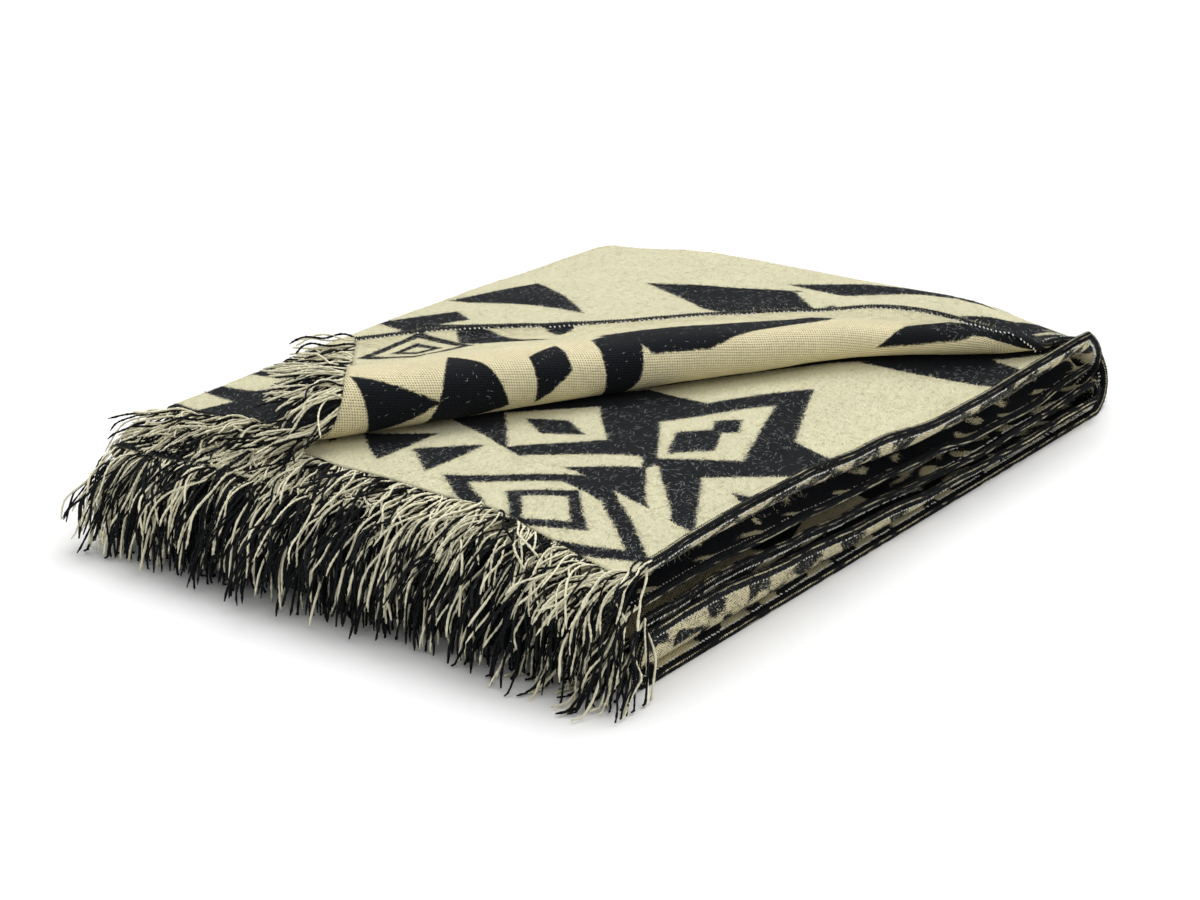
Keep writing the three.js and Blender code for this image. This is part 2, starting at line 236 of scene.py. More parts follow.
class Line(Enum):
    """The lines along the hemmed side whose heights are set: the hems that show, and the ledges between."""

    FIRST = "first hem"
    SECOND = "second hem"
    THIRD = "third hem"
    FOURTH = "fourth hem"
    UPPER_LEDGE = "ledge under the first hem"
    LOWER_LEDGE = "ledge under the second hem"


@dataclass(frozen=True)
class Layer:
    """One layer of the pad. Millimetres.

    near and far are its levels at the two ends. Just inside the hem it is at its tuck: a level, or a line
    with above over it. inset is how far the hem is set back, line is the hem's own height, reach is how
    far in the upturned lip starts, and dip is how far the cloth sinks behind it.
    """

    near: float
    far: float
    tuck: float | Line
    inset: float
    above: float = 0
    line: Line | None = None
    reach: float = 18
    dip: float = 0


@dataclass(frozen=True)
class Leg:
    """A stretch of the cloth's way, with the one or two layers that each half is in, and its mesh steps."""

    a: tuple[int, ...]
    b: tuple[int, ...]
    way: Way
    steps: int


@dataclass(frozen=True)
class FoldedForm:
    """The pad's eight layers, their turns and the flap, as the CAD builds them. Millimetres.

    u runs along the hemmed side from the fringed ends, v along the fringed side from the hems, z up.
    """

    length: float = 500.0
    width: float = 350.0
    thickness: float = 2.6
    corner: tuple[float, float] = (-237.495, -181.251)
    layers: tuple[Layer, ...] = (
        Layer(66.2, 59.6, Line.UPPER_LEDGE, 0, above=5.6),
        Layer(60.4, 54.0, Line.UPPER_LEDGE, 0, line=Line.FIRST),
        Layer(54.5, 48.5, Line.LOWER_LEDGE, 5, line=Line.SECOND, reach=14, dip=7),
        Layer(46.0, 41.0, 17.4, 2.5, line=Line.THIRD),
        Layer(37.0, 32.5, 13.3, 0, line=Line.FOURTH, reach=14, dip=7.8),
        Layer(27.0, 24.0, 9.3, 30),
        Layer(14.0, 12.5, 5.3, 28),
        Layer(1.3, 1.3, 1.3, 3),
    )
    hem_at: tuple[float, ...] = (0, 60, 140, 200, 290, 340, 400, 480)
    hem_heights: tuple[tuple[Line, tuple[float, ...]], ...] = (
        (Line.FIRST, (66, 68, 67.5, 64, 56, 56, 57.5, 58)),
        (Line.SECOND, (42, 43, 40, 37.5, 35, 29, 28, 33)),
        (Line.THIRD, (36.5, 37, 33, 29, 22.5, 19.8, 20, 23)),
        (Line.FOURTH, (30, 31, 25, 21.5, 17, 14.5, 13.6, 13.6)),
        (Line.UPPER_LEDGE, (51.6, 52.5, 51, 47.5, 41, 38.5, 39, 41)),
        (Line.LOWER_LEDGE, (46.5, 47.3, 45.5, 42, 35.5, 32.5, 32.5, 35.5)),
    )
    lip_power: float = 2.2
    dip_start: float = 16
    dip_end: float = 28
    tuck_end: float = 20
    swell_end: float = 100
    back_start: float = 270
    back_drop: float = 0.12
    end_at: tuple[float, ...] = (0, 60, 125, 200, 300, 350)
    ends: tuple[tuple[float, ...], ...] = (
        (40, 42, 45, 49, 56, 60),
        (2, 12, 25, 33, 54, 62),
        (-1, 2, 5, 3, 10, 16),
        (1, 4, 6, 5, 12, 18),
        (4, 6, 7, 8, 14, 20),
    )
    outer_turn: float = 465
    under_turn: float = 488
    inner_turn: float = 480
    flap_hem_near: float = 46
    flap_hem_far: float = 24
    crease_near: float = 274
    roll_at: tuple[float, ...] = (0, 230, 380, 465)
    roll_radius: tuple[float, ...] = (15, 12, 7.5, 4.2)
    settle_height: float = 4.4
    settle_length: float = 105
    legs: tuple[Leg, ...] = (
        Leg((0,), (1,), Way.FAR, 150),
        Leg((0, 7), (1, 6), Way.OUTER, 44),
        Leg((7,), (6,), Way.NEAR, 22),
        Leg((7, 4), (6, 5), Way.NEAR_TURN, 30),
        Leg((4,), (5,), Way.FAR, 44),
        Leg((4, 3), (5, 2), Way.INNER, 20),
        Leg((3,), (2,), Way.NEAR, 76),
    )
    # how far each turn reaches past its layers' ends: a length, and a share of half the drop between them
    turn_reach: tuple[tuple[Way, Half, float, float], ...] = (
        (Way.OUTER, Half.A, 41, 0),
        (Way.OUTER, Half.B, 34.5, 0),
        (Way.NEAR_TURN, Half.A, 3, 0.75),
        (Way.NEAR_TURN, Half.B, 0, 1),
        (Way.INNER, Half.A, 0, 1),
        (Way.INNER, Half.B, 4, 0.8),
    )
    hem_lines_depth: float = 30
    back_lines_depth: float = 60
    hem_lines_a: int = 19
    hem_lines_b: int = 17
    middle_lines_b: int = 39
    back_lines_b: int = 6
    flap_lines: int = 22
    roll_lines: int = 18
    rest_lines: int = 15
    least_gap: float = 0.45
    fold_steps: int = 6

    @property
    def slope(self) -> float:
        """How far the crease moves across for each step along."""
        return (self.crease_near - self.flap_hem_far) / self.outer_turn

    @property
    def lines_a(self) -> Array:
        """Where the half with the flap has its mesh lines.

        Returns:
            Their distances from the hem.
        """
        rest = self.flap_lines + self.roll_lines + self.rest_lines - self.hem_lines_a + 1
        near, deep = self.hem_lines_depth, self.width - self.hem_lines_depth
        spread = near + deep * np.linspace(0, 1, rest + 1)[1:] ** 1.2
        return np.concatenate([np.linspace(0, near, self.hem_lines_a), spread])

    @property
    def lines_b(self) -> Array:
        """Where the other half has its mesh lines.

        Returns:
            Their distances from the hem.
        """
        near, back = self.hem_lines_depth, self.width - self.back_lines_depth
        by_hem = np.linspace(0, near, self.hem_lines_b)
        middle = np.linspace(near, back, self.middle_lines_b)[1:]
        return np.concatenate([by_hem, middle, np.linspace(back, self.width, self.back_lines_b)[1:]])

    def height(self, index: int, u: Array, v: Array) -> Array:
        """The height of the middle of a layer's cloth.

        Args:
            index: which layer, from the top.
            u: places along the hemmed side.
            v: places across, from the hem's line.

        Returns:
            One height for each place.
        """
        layer = self.layers[index]
        floor, second = self.layers[7].near, self.layers[1].near
        closed = 1 - self.back_drop * smoothstep(v, self.back_start, self.width)
        level = layer.near + (layer.far - layer.near) * np.clip(u / self.length, 0, 1)
        soft = 1.3 * np.sin(u / 70 + 0.6) * np.cos(v / 90) + 0.9 * np.sin(v / 55 + u / 160)
        body = floor + (level - floor) * closed + soft * (level - floor) / second
        lines = dict(self.hem_heights)
        ledge = EasedTable(self.hem_at, lines[layer.tuck])(u) if isinstance(layer.tuck, Line) else layer.tuck
        tuck = ledge + layer.above
        base = tuck + (body - tuck) * smoothstep(v, self.tuck_end, self.swell_end)
        if layer.line is None:
            return base
        in_lip = np.clip((v - layer.inset) / layer.reach, 0, 1)
        rise = EasedTable(self.hem_at, lines[layer.line])(u) - tuck + layer.dip
        lip = rise * (1 - in_lip) ** self.lip_power
        return base + lip - layer.dip * (1 - smoothstep(v, self.dip_start, self.dip_end))

    def crease_at(self, u: Array) -> Array:
        """The v of the flap's crease."""
        return self.crease_near - self.slope * u

    def top_point(self, u: Array, v: Array) -> Array:
        """Points of the top layer, rolled over and laid back where v is on the hem's side of the crease.

        Args:
            u: places along the hemmed side, on the cloth before it is turned back.
            v: places across, on the same.

        Returns:
            One point for each place.
        """
        tilt = math.atan(self.slope)
        past = (self.crease_at(u) - v) * math.cos(tilt)
        across = np.array([math.sin(tilt), math.cos(tilt)])
        foot_u, foot_v = u + across[0] * past, v + across[1] * past
        radius = EasedTable(self.roll_at, self.roll_radius)(foot_u)
        turned = np.clip(past / radius, 0, math.pi)
        rolled = np.stack(
            [
                foot_u - across[0] * radius * np.sin(turned),
                foot_v - across[1] * radius * np.sin(turned),
                self.height(0, foot_u, foot_v) + radius * (1 - np.cos(turned)),
            ],
            -1,
        )
        behind = past - math.pi * radius
        flat_u, flat_v = foot_u + across[0] * behind, foot_v + across[1] * behind
        lift = 2 * radius + (self.settle_height - 2 * radius) * smoothstep(behind, 0, self.settle_length)
        flap = np.stack([flat_u, flat_v, self.height(0, flat_u, np.minimum(flat_v, self.width)) + lift], -1)
        plain = np.stack([u, v, self.height(0, u, v)], -1)
        return np.where((past <= 0)[..., None], plain, np.where((behind < 0)[..., None], rolled, flap))

    def hem_inset(self, index: int, u: float) -> float:
        """How far the hem of a layer is set back.

        Args:
            index: which layer, from the top.
            u: the place along the hemmed side, for the flap's slanting hem.

        Returns:
            The distance.
        """
        if index:
            return self.layers[index].inset
        along = min(max(u / self.outer_turn, 0), 1)
        return self.flap_hem_near + (self.flap_hem_far - self.flap_hem_near) * along

    def far_start(self, index: int) -> float:
        """Where a layer's turn at the far end starts.

        Args:
            index: which layer, from the top.

        Returns:
            Its u.
        """
        if index < 2:
            return self.outer_turn
        return self.under_turn if index > 5 else self.inner_turn

    def near_end(self, index: int, v: Array) -> Array:
        """Where a layer's fringed end, or its turn at the near end, lies."""
        return EasedTable(self.end_at, self.ends[min(index, 4)])(v)

    def mesh_lines(self, half: Half, index: int, u: float) -> Array:
        """The v of each mesh line of one half of the cloth on one layer.

        Args:
            half: which half.
            index: which layer, from the top.
            u: the place along the hemmed side.

        Returns:
            One v for each line, from the hem.
        """
        inset = self.hem_inset(index, u)
        lines = self.lines_a if half is Half.A else self.lines_b
        if index:
            return inset + lines * (self.width - inset) / self.width
        crease = float(self.crease_at(u))
        radius = float(EasedTable(self.roll_at, self.roll_radius)(np.array(u)))
        start = max(inset, crease - math.pi * radius / math.cos(math.atan(self.slope)))
        flat = np.linspace(inset, start, self.flap_lines + 1)
        roll = np.linspace(start, crease, self.roll_lines + 1)[1:]
        least = inset + np.arange(self.flap_lines + self.roll_lines + 1) * self.least_gap
        joined = np.maximum(np.concatenate([flat, roll]), least)
        rest = np.linspace(joined[-1], self.width, len(lines) - len(joined) + 1)[1:]
        return np.concatenate([joined, rest])

    def layer_row(self, half: Half, index: int, along: float) -> Array:
        """A row of points of one half of the cloth, across one layer.

        Args:
            half: which half.
            index: which layer, from the top.
            along: how far along the layer it is, from 0 at the near end to 1 at the far turn.

        Returns:
            The points, from the hem.
        """

        def place(v: Array) -> Array:
            """The u of this row at v."""
            near = self.near_end(index, v)
            return near + (self.far_start(index) - near) * along

        at = place(np.array(self.width))
        for _ in range(2):
            at = place(self.crease_at(at))
        v = self.mesh_lines(half, index, float(at))
        u = place(v)
        return self.top_point(u, v) if index == 0 else np.stack([u, v, self.height(index, u, v)], -1)

    def turn_row(self, half: Half, way: Way, layers: tuple[int, ...], part: float) -> Array:
        """A row of points of one half of the cloth, in a turn from one layer to another.

        Args:
            half: which half.
            way: which turn.
            layers: the two layers, from the top.
            part: how far round it is, from 0 to 1.

        Returns:
            The points, from the hem.
        """
        lines = [self.mesh_lines(half, index, self.outer_turn) for index in layers]
        v = lines[0] + (lines[1] - lines[0]) * part
        base, share = {entry[:2]: entry[2:] for entry in self.turn_reach}[way, half]
        near = way is Way.NEAR_TURN
        starts = [self.near_end(i, v) if near else np.full(v.shape, self.far_start(i)) for i in layers]
        z0, z1 = (self.height(index, start, v) for index, start in zip(layers, starts))
        out = (base + share * np.abs(z1 - z0) / 2) * math.sin(math.pi * part) * (-1 if near else 1)
        u = starts[0] + (starts[1] - starts[0]) * part + out
        return np.stack([u, v, z0 + (z1 - z0) * (1 - math.cos(math.pi * part)) / 2], -1)

    def half_row(self, half: Half, leg: Leg, part: float) -> Array:
        """A row of points of one half of the cloth, from its hem.

        Args:
            half: which half.
            leg: which stretch of the cloth's way.
            part: how far along the stretch it is, from 0 to 1.

        Returns:
            The points.
        """
        layers = leg.a if half is Half.A else leg.b
        if len(layers) == 1:
            return self.layer_row(half, layers[0], part if leg.way is Way.FAR else 1 - part)
        return self.turn_row(half, leg.way, layers, part)

    def row(self, leg: Leg, part: float) -> Array:
        """A whole row: half a from its hem, the fold at the back, and half b back to its own hem.

        Args:
            leg: which stretch of the cloth's way.
            part: how far along the stretch it is, from 0 to 1.

        Returns:
            The points, one row each.
        """
        row_a, row_b = self.half_row(Half.A, leg, part), self.half_row(Half.B, leg, part)[::-1]
        middle = (row_a[-1] + row_b[0]) / 2
        arm = row_a[-1] - middle
        angles = math.pi * np.arange(1, self.fold_steps) / self.fold_steps
        fold = middle + np.cos(angles)[:, None] * arm
        fold[:, 1] += np.linalg.norm(arm) * np.sin(angles)
        return np.concatenate([row_a, fold, row_b])

    def grid(self) -> Array:
        """The middle of the cloth.

        Returns:
            Its points, as (row, column, xyz), from the fringed end of the top two layers.
        """
        rows = []
        for number, leg in enumerate(self.legs):
            for step in range(1 if number else 0, leg.steps + 1):
                rows.append(self.row(leg, step / leg.steps))
        return np.stack(rows)

    def framed(self, points: Array) -> Array:
        """Points of the pad's own axes, in the row frame, with none under the floor."""
        return np.maximum(points, (-np.inf, -np.inf, 0.0)) + np.array([self.corner[0], self.corner[1], 0.0])


def grid_normals(grid: Array) -> Array:
    """The way out of the outer face at each point of a grid."""
    return unit(np.cross(np.gradient(grid, axis=0), np.gradient(grid, axis=1)))


# Node graphs


FIBRE_SHEEN_ROUGHNESS = 0.6
FIBRE_GLOSS = 0.09


class Graph:
    """Makes shader nodes from arithmetic on sockets and numbers."""

    def __init__(self, name: str) -> None:
        """Starts an empty material.

        Args:
            name: the material's name.
        """
        self.material = bpy.data.materials.new(name)
        self.material.use_nodes = True
        self.tree = self.material.node_tree
        self.tree.nodes.clear()

    def node(self, kind: str, inputs: dict | None = None, **settings: str) -> bpy.types.Node:
        """A new node.

        Args:
            kind: Blender's name for it.
            inputs: a socket or a value for each input that isn't left as it is.
            settings: its other settings.

        Returns:
            The node.
        """
        made = self.tree.nodes.new(kind)
        for key, value in settings.items():
            setattr(made, key, value)
        for key, value in (inputs or {}).items():
            self.feed(made.inputs[key], value)
        return made

    def feed(self, socket: Socket, value: Value | Sequence[float]) -> None:
        """Links an input to a socket, or sets its value.

        Args:
            socket: the input.
            value: another node's socket, a number, a vector or a colour.
        """
        if isinstance(value, bpy.types.NodeSocket):
            self.tree.links.new(value, socket)
        elif socket.type == "VECTOR":
            socket.default_value = tuple(value)[:3]
        else:
            socket.default_value = value

    def math(self, operation: str, *values: Value) -> Socket:
        """One Math node.

        Args:
            operation: what it does.
            values: its inputs.

        Returns:
            Its result.
        """
        made = self.tree.nodes.new("ShaderNodeMath")
        made.operation = operation
        for socket, value in zip(made.inputs, values):
            self.feed(socket, value)
        return made.outputs[0]

    def add(self, a: Value, b: Value) -> Socket:
        """a + b."""
        return self.math("ADD", a, b)

    def times(self, a: Value, b: Value) -> Socket:
        """a * b."""
        return self.math("MULTIPLY", a, b)

    def less(self, a: Value, b: Value) -> Socket:
        """a - b."""
        return self.math("SUBTRACT", a, b)

    def greatest(self, a: Value, b: Value) -> Socket:
        """The greater of a and b."""
        return self.math("MAXIMUM", a, b)

    def least(self, a: Value, b: Value) -> Socket:
        """The lesser of a and b."""
        return self.math("MINIMUM", a, b)

    def wave(self, value: Value, length: float) -> Socket:
        """A sine of a place, with this wavelength."""
        return self.math("SINE", self.times(value, 2 * math.pi / length))

    def vector(self, x: Value, y: Value, z: Value) -> Socket:
        """A vector from three values."""
        return self.node("ShaderNodeCombineXYZ", {0: x, 1: y, 2: z}).outputs[0]

    def dot(self, vector: Socket, constant: tuple[float, float, float]) -> Socket:
        """The dot product with a constant."""
        made = self.node("ShaderNodeVectorMath", {0: vector, 1: constant}, operation="DOT_PRODUCT")
        return made.outputs["Value"]

    def scaled(self, vector: Socket, factor: tuple[float, float, float]) -> Socket:
        """A vector scaled along each axis."""
        return self.node("ShaderNodeVectorMath", {0: vector, 1: factor}, operation="MULTIPLY").outputs[0]

    def toned(self, colour: Socket | Colour, tone: Value) -> Socket:
        """A colour scaled in brightness."""
        inputs = {0: colour, "Scale": tone}
        return self.node("ShaderNodeVectorMath", inputs, operation="SCALE").outputs[0]

    def step(self, value: Value, low: float, high: float) -> Socket:
        """A smooth step of a value, from 0 at low to 1 at high."""
        inputs = {"Value": value, "From Min": low, "From Max": high}
        return self.node("ShaderNodeMapRange", inputs, interpolation_type="SMOOTHSTEP").outputs["Result"]

    def ranged(self, value: Value, low: float, high: float, to_low: float, to_high: float) -> Socket:
        """A value mapped from one range to another, and held inside it."""
        inputs = {"Value": value, "From Min": low, "From Max": high, "To Min": to_low, "To Max": to_high}
        return self.node("ShaderNodeMapRange", inputs).outputs["Result"]

    def noise(self, vector: Socket, scale: float, detail: float = 2, rough: float = 0.5) -> Socket:
        """Noise from 0 to 1."""
        inputs = {"Vector": vector, "Scale": scale, "Detail": detail, "Roughness": rough}
        return self.node("ShaderNodeTexNoise", inputs).outputs[0]

    def noise_colour(self, vector: Socket, scale: float, detail: float = 2) -> Socket:
        """Three noises at once, as a vector."""
        inputs = {"Vector": vector, "Scale": scale, "Detail": detail}
        return self.node("ShaderNodeTexNoise", inputs).outputs["Color"]

    def blend(self, factor: Value, a: Socket | Colour, b: Socket | Colour) -> Socket:
        """A colour from one to another.

        Args:
            factor: 0 for the first and 1 for the second.
            a: the first colour.
            b: the second colour.

        Returns:
            The blend.
        """
        made = self.tree.nodes.new("ShaderNodeMix")
        made.data_type = "RGBA"
        self.feed(made.inputs[0], factor)
        self.feed(made.inputs[6], a)
        self.feed(made.inputs[7], b)
        return made.outputs[2]

    def mix(self, factor: Value, a: Value, b: Value) -> Socket:
        """A value from one to another.

        Args:
            factor: 0 for the first and 1 for the second.
            a: the first value.
            b: the second value.

        Returns:
            The blend.
        """
        made = self.tree.nodes.new("ShaderNodeMix")
        self.feed(made.inputs[0], factor)
        self.feed(made.inputs[2], a)
        self.feed(made.inputs[3], b)
        return made.outputs[0]

    def attribute(self, name: str) -> bpy.types.Node:
        """The node that reads a point's stored value."""
        return self.node("ShaderNodeAttribute", attribute_name=name, attribute_type="GEOMETRY")

    def finish(
        self, colour: Socket, roughness: float, height: Socket, strength: float, distance: float, sheen: float
    ) -> bpy.types.Material:
        """Ends the graph in a rough, slightly sheeny surface.

        Args:
            colour: the base colour.
            roughness: from 0 to 1.
            height: the bump's height, from 0 to 1.
            strength: how strongly the bump shows.
            distance: the height of the bump in metres.
            sheen: the weight of the soft sheen of loose fibres.

        Returns:
            The finished material.
        """
        bump = self.node("ShaderNodeBump", {"Height": height, "Strength": strength, "Distance": distance})
        shader = self.node("ShaderNodeBsdfPrincipled")
        self.feed(shader.inputs["Base Color"], colour)
        self.feed(shader.inputs["Roughness"], roughness)
        self.feed(shader.inputs["Normal"], bump.outputs[0])
        shader.inputs["Sheen Weight"].default_value = sheen
        shader.inputs["Sheen Roughness"].default_value = FIBRE_SHEEN_ROUGHNESS
        shader.inputs["Specular IOR Level"].default_value = FIBRE_GLOSS
        output = self.node("ShaderNodeOutputMaterial")
        self.tree.links.new(shader.outputs[0], output.inputs[0])
        return self.material


# The woven design


class Ink(Enum):
    """The two colours of the design, on the inner face."""

    DARK = "dark"
    LIGHT = "light"


@dataclass(frozen=True)
class Diamond:
    """A diamond of the design: its middle and half sizes, in millimetres from the fringed end and the hem."""

    ink: Ink
    p: float
    q: float
    half_p: float
    half_q: float

    def away(self, p: Array, q: Array) -> Array:
        """The distance outside the diamond's edge at each place."""
        scale = self.half_p * self.half_q / math.hypot(self.half_p, self.half_q)
        return scale * (np.abs(p - self.p) / self.half_p + np.abs(q - self.q) / self.half_q - 1)

    def distance(self, graph: Graph, place: Socket) -> Socket:
        """The distance outside the diamond's edge, in a material.

        Args:
            graph: the material's nodes.
            place: the place on the flat cloth, with 1 as its third part.

        Returns:
            The distance.
        """
        away_p = graph.math("ABSOLUTE", graph.dot(place, (1, 0, -self.p)))
        away_q = graph.math("ABSOLUTE", graph.dot(place, (0, 1, -self.q)))
        scale = self.half_p * self.half_q / math.hypot(self.half_p, self.half_q)
        spread = graph.vector(away_p, away_q, 1.0)
        return graph.dot(spread, (scale / self.half_p, scale / self.half_q, -scale))


@dataclass(frozen=True)
class Wedge:
    """A convex shape of the design: its corners, in millimetres from the fringed end and the hem."""

    ink: Ink
    corners: tuple[tuple[float, float], ...]

    def sides(self) -> list[tuple[float, float, float]]:
        """The sides of the shape.

        Returns:
            For each side, the factors of p, q and 1 that give the distance outside it.
        """
        corners = np.array(self.corners, float)
        nexts = np.roll(corners, -1, axis=0)
        turn = np.sum(corners[:, 0] * nexts[:, 1] - nexts[:, 0] * corners[:, 1])
        found = []
        for start, end in zip(corners, nexts):
            edge = unit(end - start) * (1 if turn > 0 else -1)
            found.append((float(edge[1]), float(-edge[0]), float(edge[0] * start[1] - edge[1] * start[0])))
        return found

    def away(self, p: Array, q: Array) -> Array:
        """The distance outside the shape's edge at each place."""
        return np.max([a * p + b * q + c for a, b, c in self.sides()], axis=0)

    def distance(self, graph: Graph, place: Socket) -> Socket:
        """The distance outside the shape's edge, in a material.

        Args:
            graph: the material's nodes.
            place: the place on the flat cloth, with 1 as its third part.

        Returns:
            The distance.
        """
        first, *others = [graph.dot(place, side) for side in self.sides()]
        farthest = first
        for away in others:
            farthest = graph.greatest(farthest, away)
        return farthest


D, L = Ink.DARK, Ink.LIGHT
# The half with the flap. On the outer face, which is the top of the pad, the two inks change places.
FLAP_CHART: tuple[Diamond | Wedge, ...] = (
    Wedge(D, ((190, 362), (198, 300), (215, 250), (240, 170), (560, -10), (560, 362))),
    # on the top of the pad, from the fringed end to the far end
    Wedge(D, ((2, 330), (8, 360), (30, 360), (24, 322))),
    Wedge(D, ((46, 326), (42, 360), (66, 360), (72, 318))),
    Wedge(D, ((92, 312), (80, 360), (112, 360), (124, 300))),
    Wedge(D, ((128, 338), (136, 360), (184, 360), (178, 330), (150, 300))),
    Wedge(L, ((192, 350), (226, 324), (212, 300), (192, 316))),
    Wedge(L, ((246, 348), (306, 322), (262, 244), (250, 300))),
    Wedge(L, ((338, 254), (396, 165), (384, 112), (330, 125), (322, 190))),
    Wedge(L, ((400, 180), (502, 78), (494, 54), (408, 138))),
    Wedge(D, ((372, 134), (392, 168), (414, 128))),
    Wedge(L, ((506, -10), (545, -10), (545, 70), (508, 62))),
    # on the flap, between its hem and its roll
    Diamond(D, 36, 46, 34, 44),
    Diamond(L, 36, 46, 25, 33),
    Diamond(D, 36, 46, 15, 20),
    Diamond(L, 36, 46, 8, 10),
    Wedge(D, ((56, -6), (78, 8), (112, 62), (60, 34))),
    Wedge(D, ((104, -6), (128, -6), (118, 34))),
    # on the roll
    Wedge(D, ((2, 178), (27, 214), (59, 177))),
    Wedge(D, ((57, 127), (79, 144), (104, 165), (84, 186), (60, 212), (57, 178))),
    Diamond(D, 120, 132, 14, 27),
    Wedge(D, ((138, 96), (150, 76), (183, 92), (180, 122), (190, 160), (172, 168), (152, 120))),
    Wedge(D, ((142, 78), (266, 22), (288, 30), (218, 92), (182, 106))),
    Wedge(D, ((328, 57), (345, 28), (362, 3), (404, -4), (416, 8), (388, 22), (366, 40))),
)
# The half under it, whose inner face is the top of the second layer
LOWER_CHART: tuple[Diamond | Wedge, ...] = (
    # the stepped lattice of nested diamonds by the fringed end
    Wedge(D, ((74, 240), (128, 206), (204, 160), (206, 34), (194, 2), (44, -10), (36, 60), (70, 150))),
    Wedge(D, ((158, 140), (274, 89), (156, 36))),
    Diamond(L, 119, 162, 42, 35),
    Diamond(D, 119, 162, 13, 21),
    Wedge(L, ((118, 90), (160, 121), (234, 90), (156, 60))),
    Diamond(D, 154, 90, 27, 14),
    Diamond(D, 186, 91, 15, 9),
    Diamond(L, 120, 24, 58, 38),
    Diamond(D, 120, 14, 14, 28),
    Wedge(L, ((62, 136), (72, 146), (112, 96), (102, 88), (70, 118))),
    Wedge(L, ((56, 44), (70, 62), (104, 86), (112, 84), (68, 44))),
    Wedge(L, ((-52, 36), (44, 36), (48, 70), (78, 91), (62, 134), (18, 170), (-52, 160))),
    Diamond(D, 22, 92, 54, 70),
    Diamond(L, 22, 92, 41, 53),
    Diamond(D, 22, 92, 29, 29),
    Diamond(L, 22, 92, 19, 18),
    Wedge(D, ((52, 108), (88, 91), (52, 74))),
    # the column of teeth along the fringed end
    Wedge(D, ((20, 173), (72, 173), (44, 201))),
    Wedge(D, ((20, 205), (72, 205), (44, 238))),
    Wedge(D, ((20, 243), (72, 243), (44, 276))),
    Wedge(D, ((20, 281), (72, 281), (44, 314))),
    Diamond(D, 120, 246, 46, 40),
    Diamond(L, 120, 246, 33, 27),
    Diamond(D, 120, 246, 12, 16),
    # the dark leaf that starts the great zigzag
    Wedge(D, ((330, 95), (412, 72), (426, 16), (402, 14))),
    Wedge(D, ((448, 52), (508, 70), (508, -6), (462, 4))),
    Wedge(D, ((278, -5), (294, -5), (286, 16))),
    Wedge(D, ((158, 186), (200, 164), (508, -2), (545, -2), (545, 362), (205, 362))),
    Wedge(L, ((246, 348), (306, 322), (262, 244), (250, 300))),
)
REPEAT = 527.0  # along the cloth, where the design turns back on itself
FOLD_Q = 355.0  # across the cloth, where it is folded and the design mirrored
HAIR_WAYS = (0.75, -0.35)  # the two ways that the brushed hairs lie, as angles from the cloth's length
NO_BLOCKS = -9.0  # the amount of cream for a hem that carries on the chart, with no blocks of its own
LEAST_BLOCKS = -5.0  # over this amount of cream, a hem has blocks


def darkness(p: Array, q: Array) -> Array:
    """The distance outside the dark ink of the inner face.

    Args:
        p: places along the flat cloth, from the fringed end of the top layer.
        q: places across it, from the hem of the half with the flap.

    Returns:
        One distance for each place.
    """
    along = REPEAT - np.abs(np.abs(p) % (2 * REPEAT) - REPEAT)
    across = np.minimum(q, 2 * FOLD_Q - q)
    found = []
    for chart in (FLAP_CHART, LOWER_CHART):
        edge = chart[0].away(along, across)
        for shape in chart[1:]:
            away = shape.away(along, across)
            edge = np.minimum(edge, away) if shape.ink is Ink.DARK else np.maximum(edge, -away)
        found.append(edge)
    return np.where(q < FOLD_Q, *found)


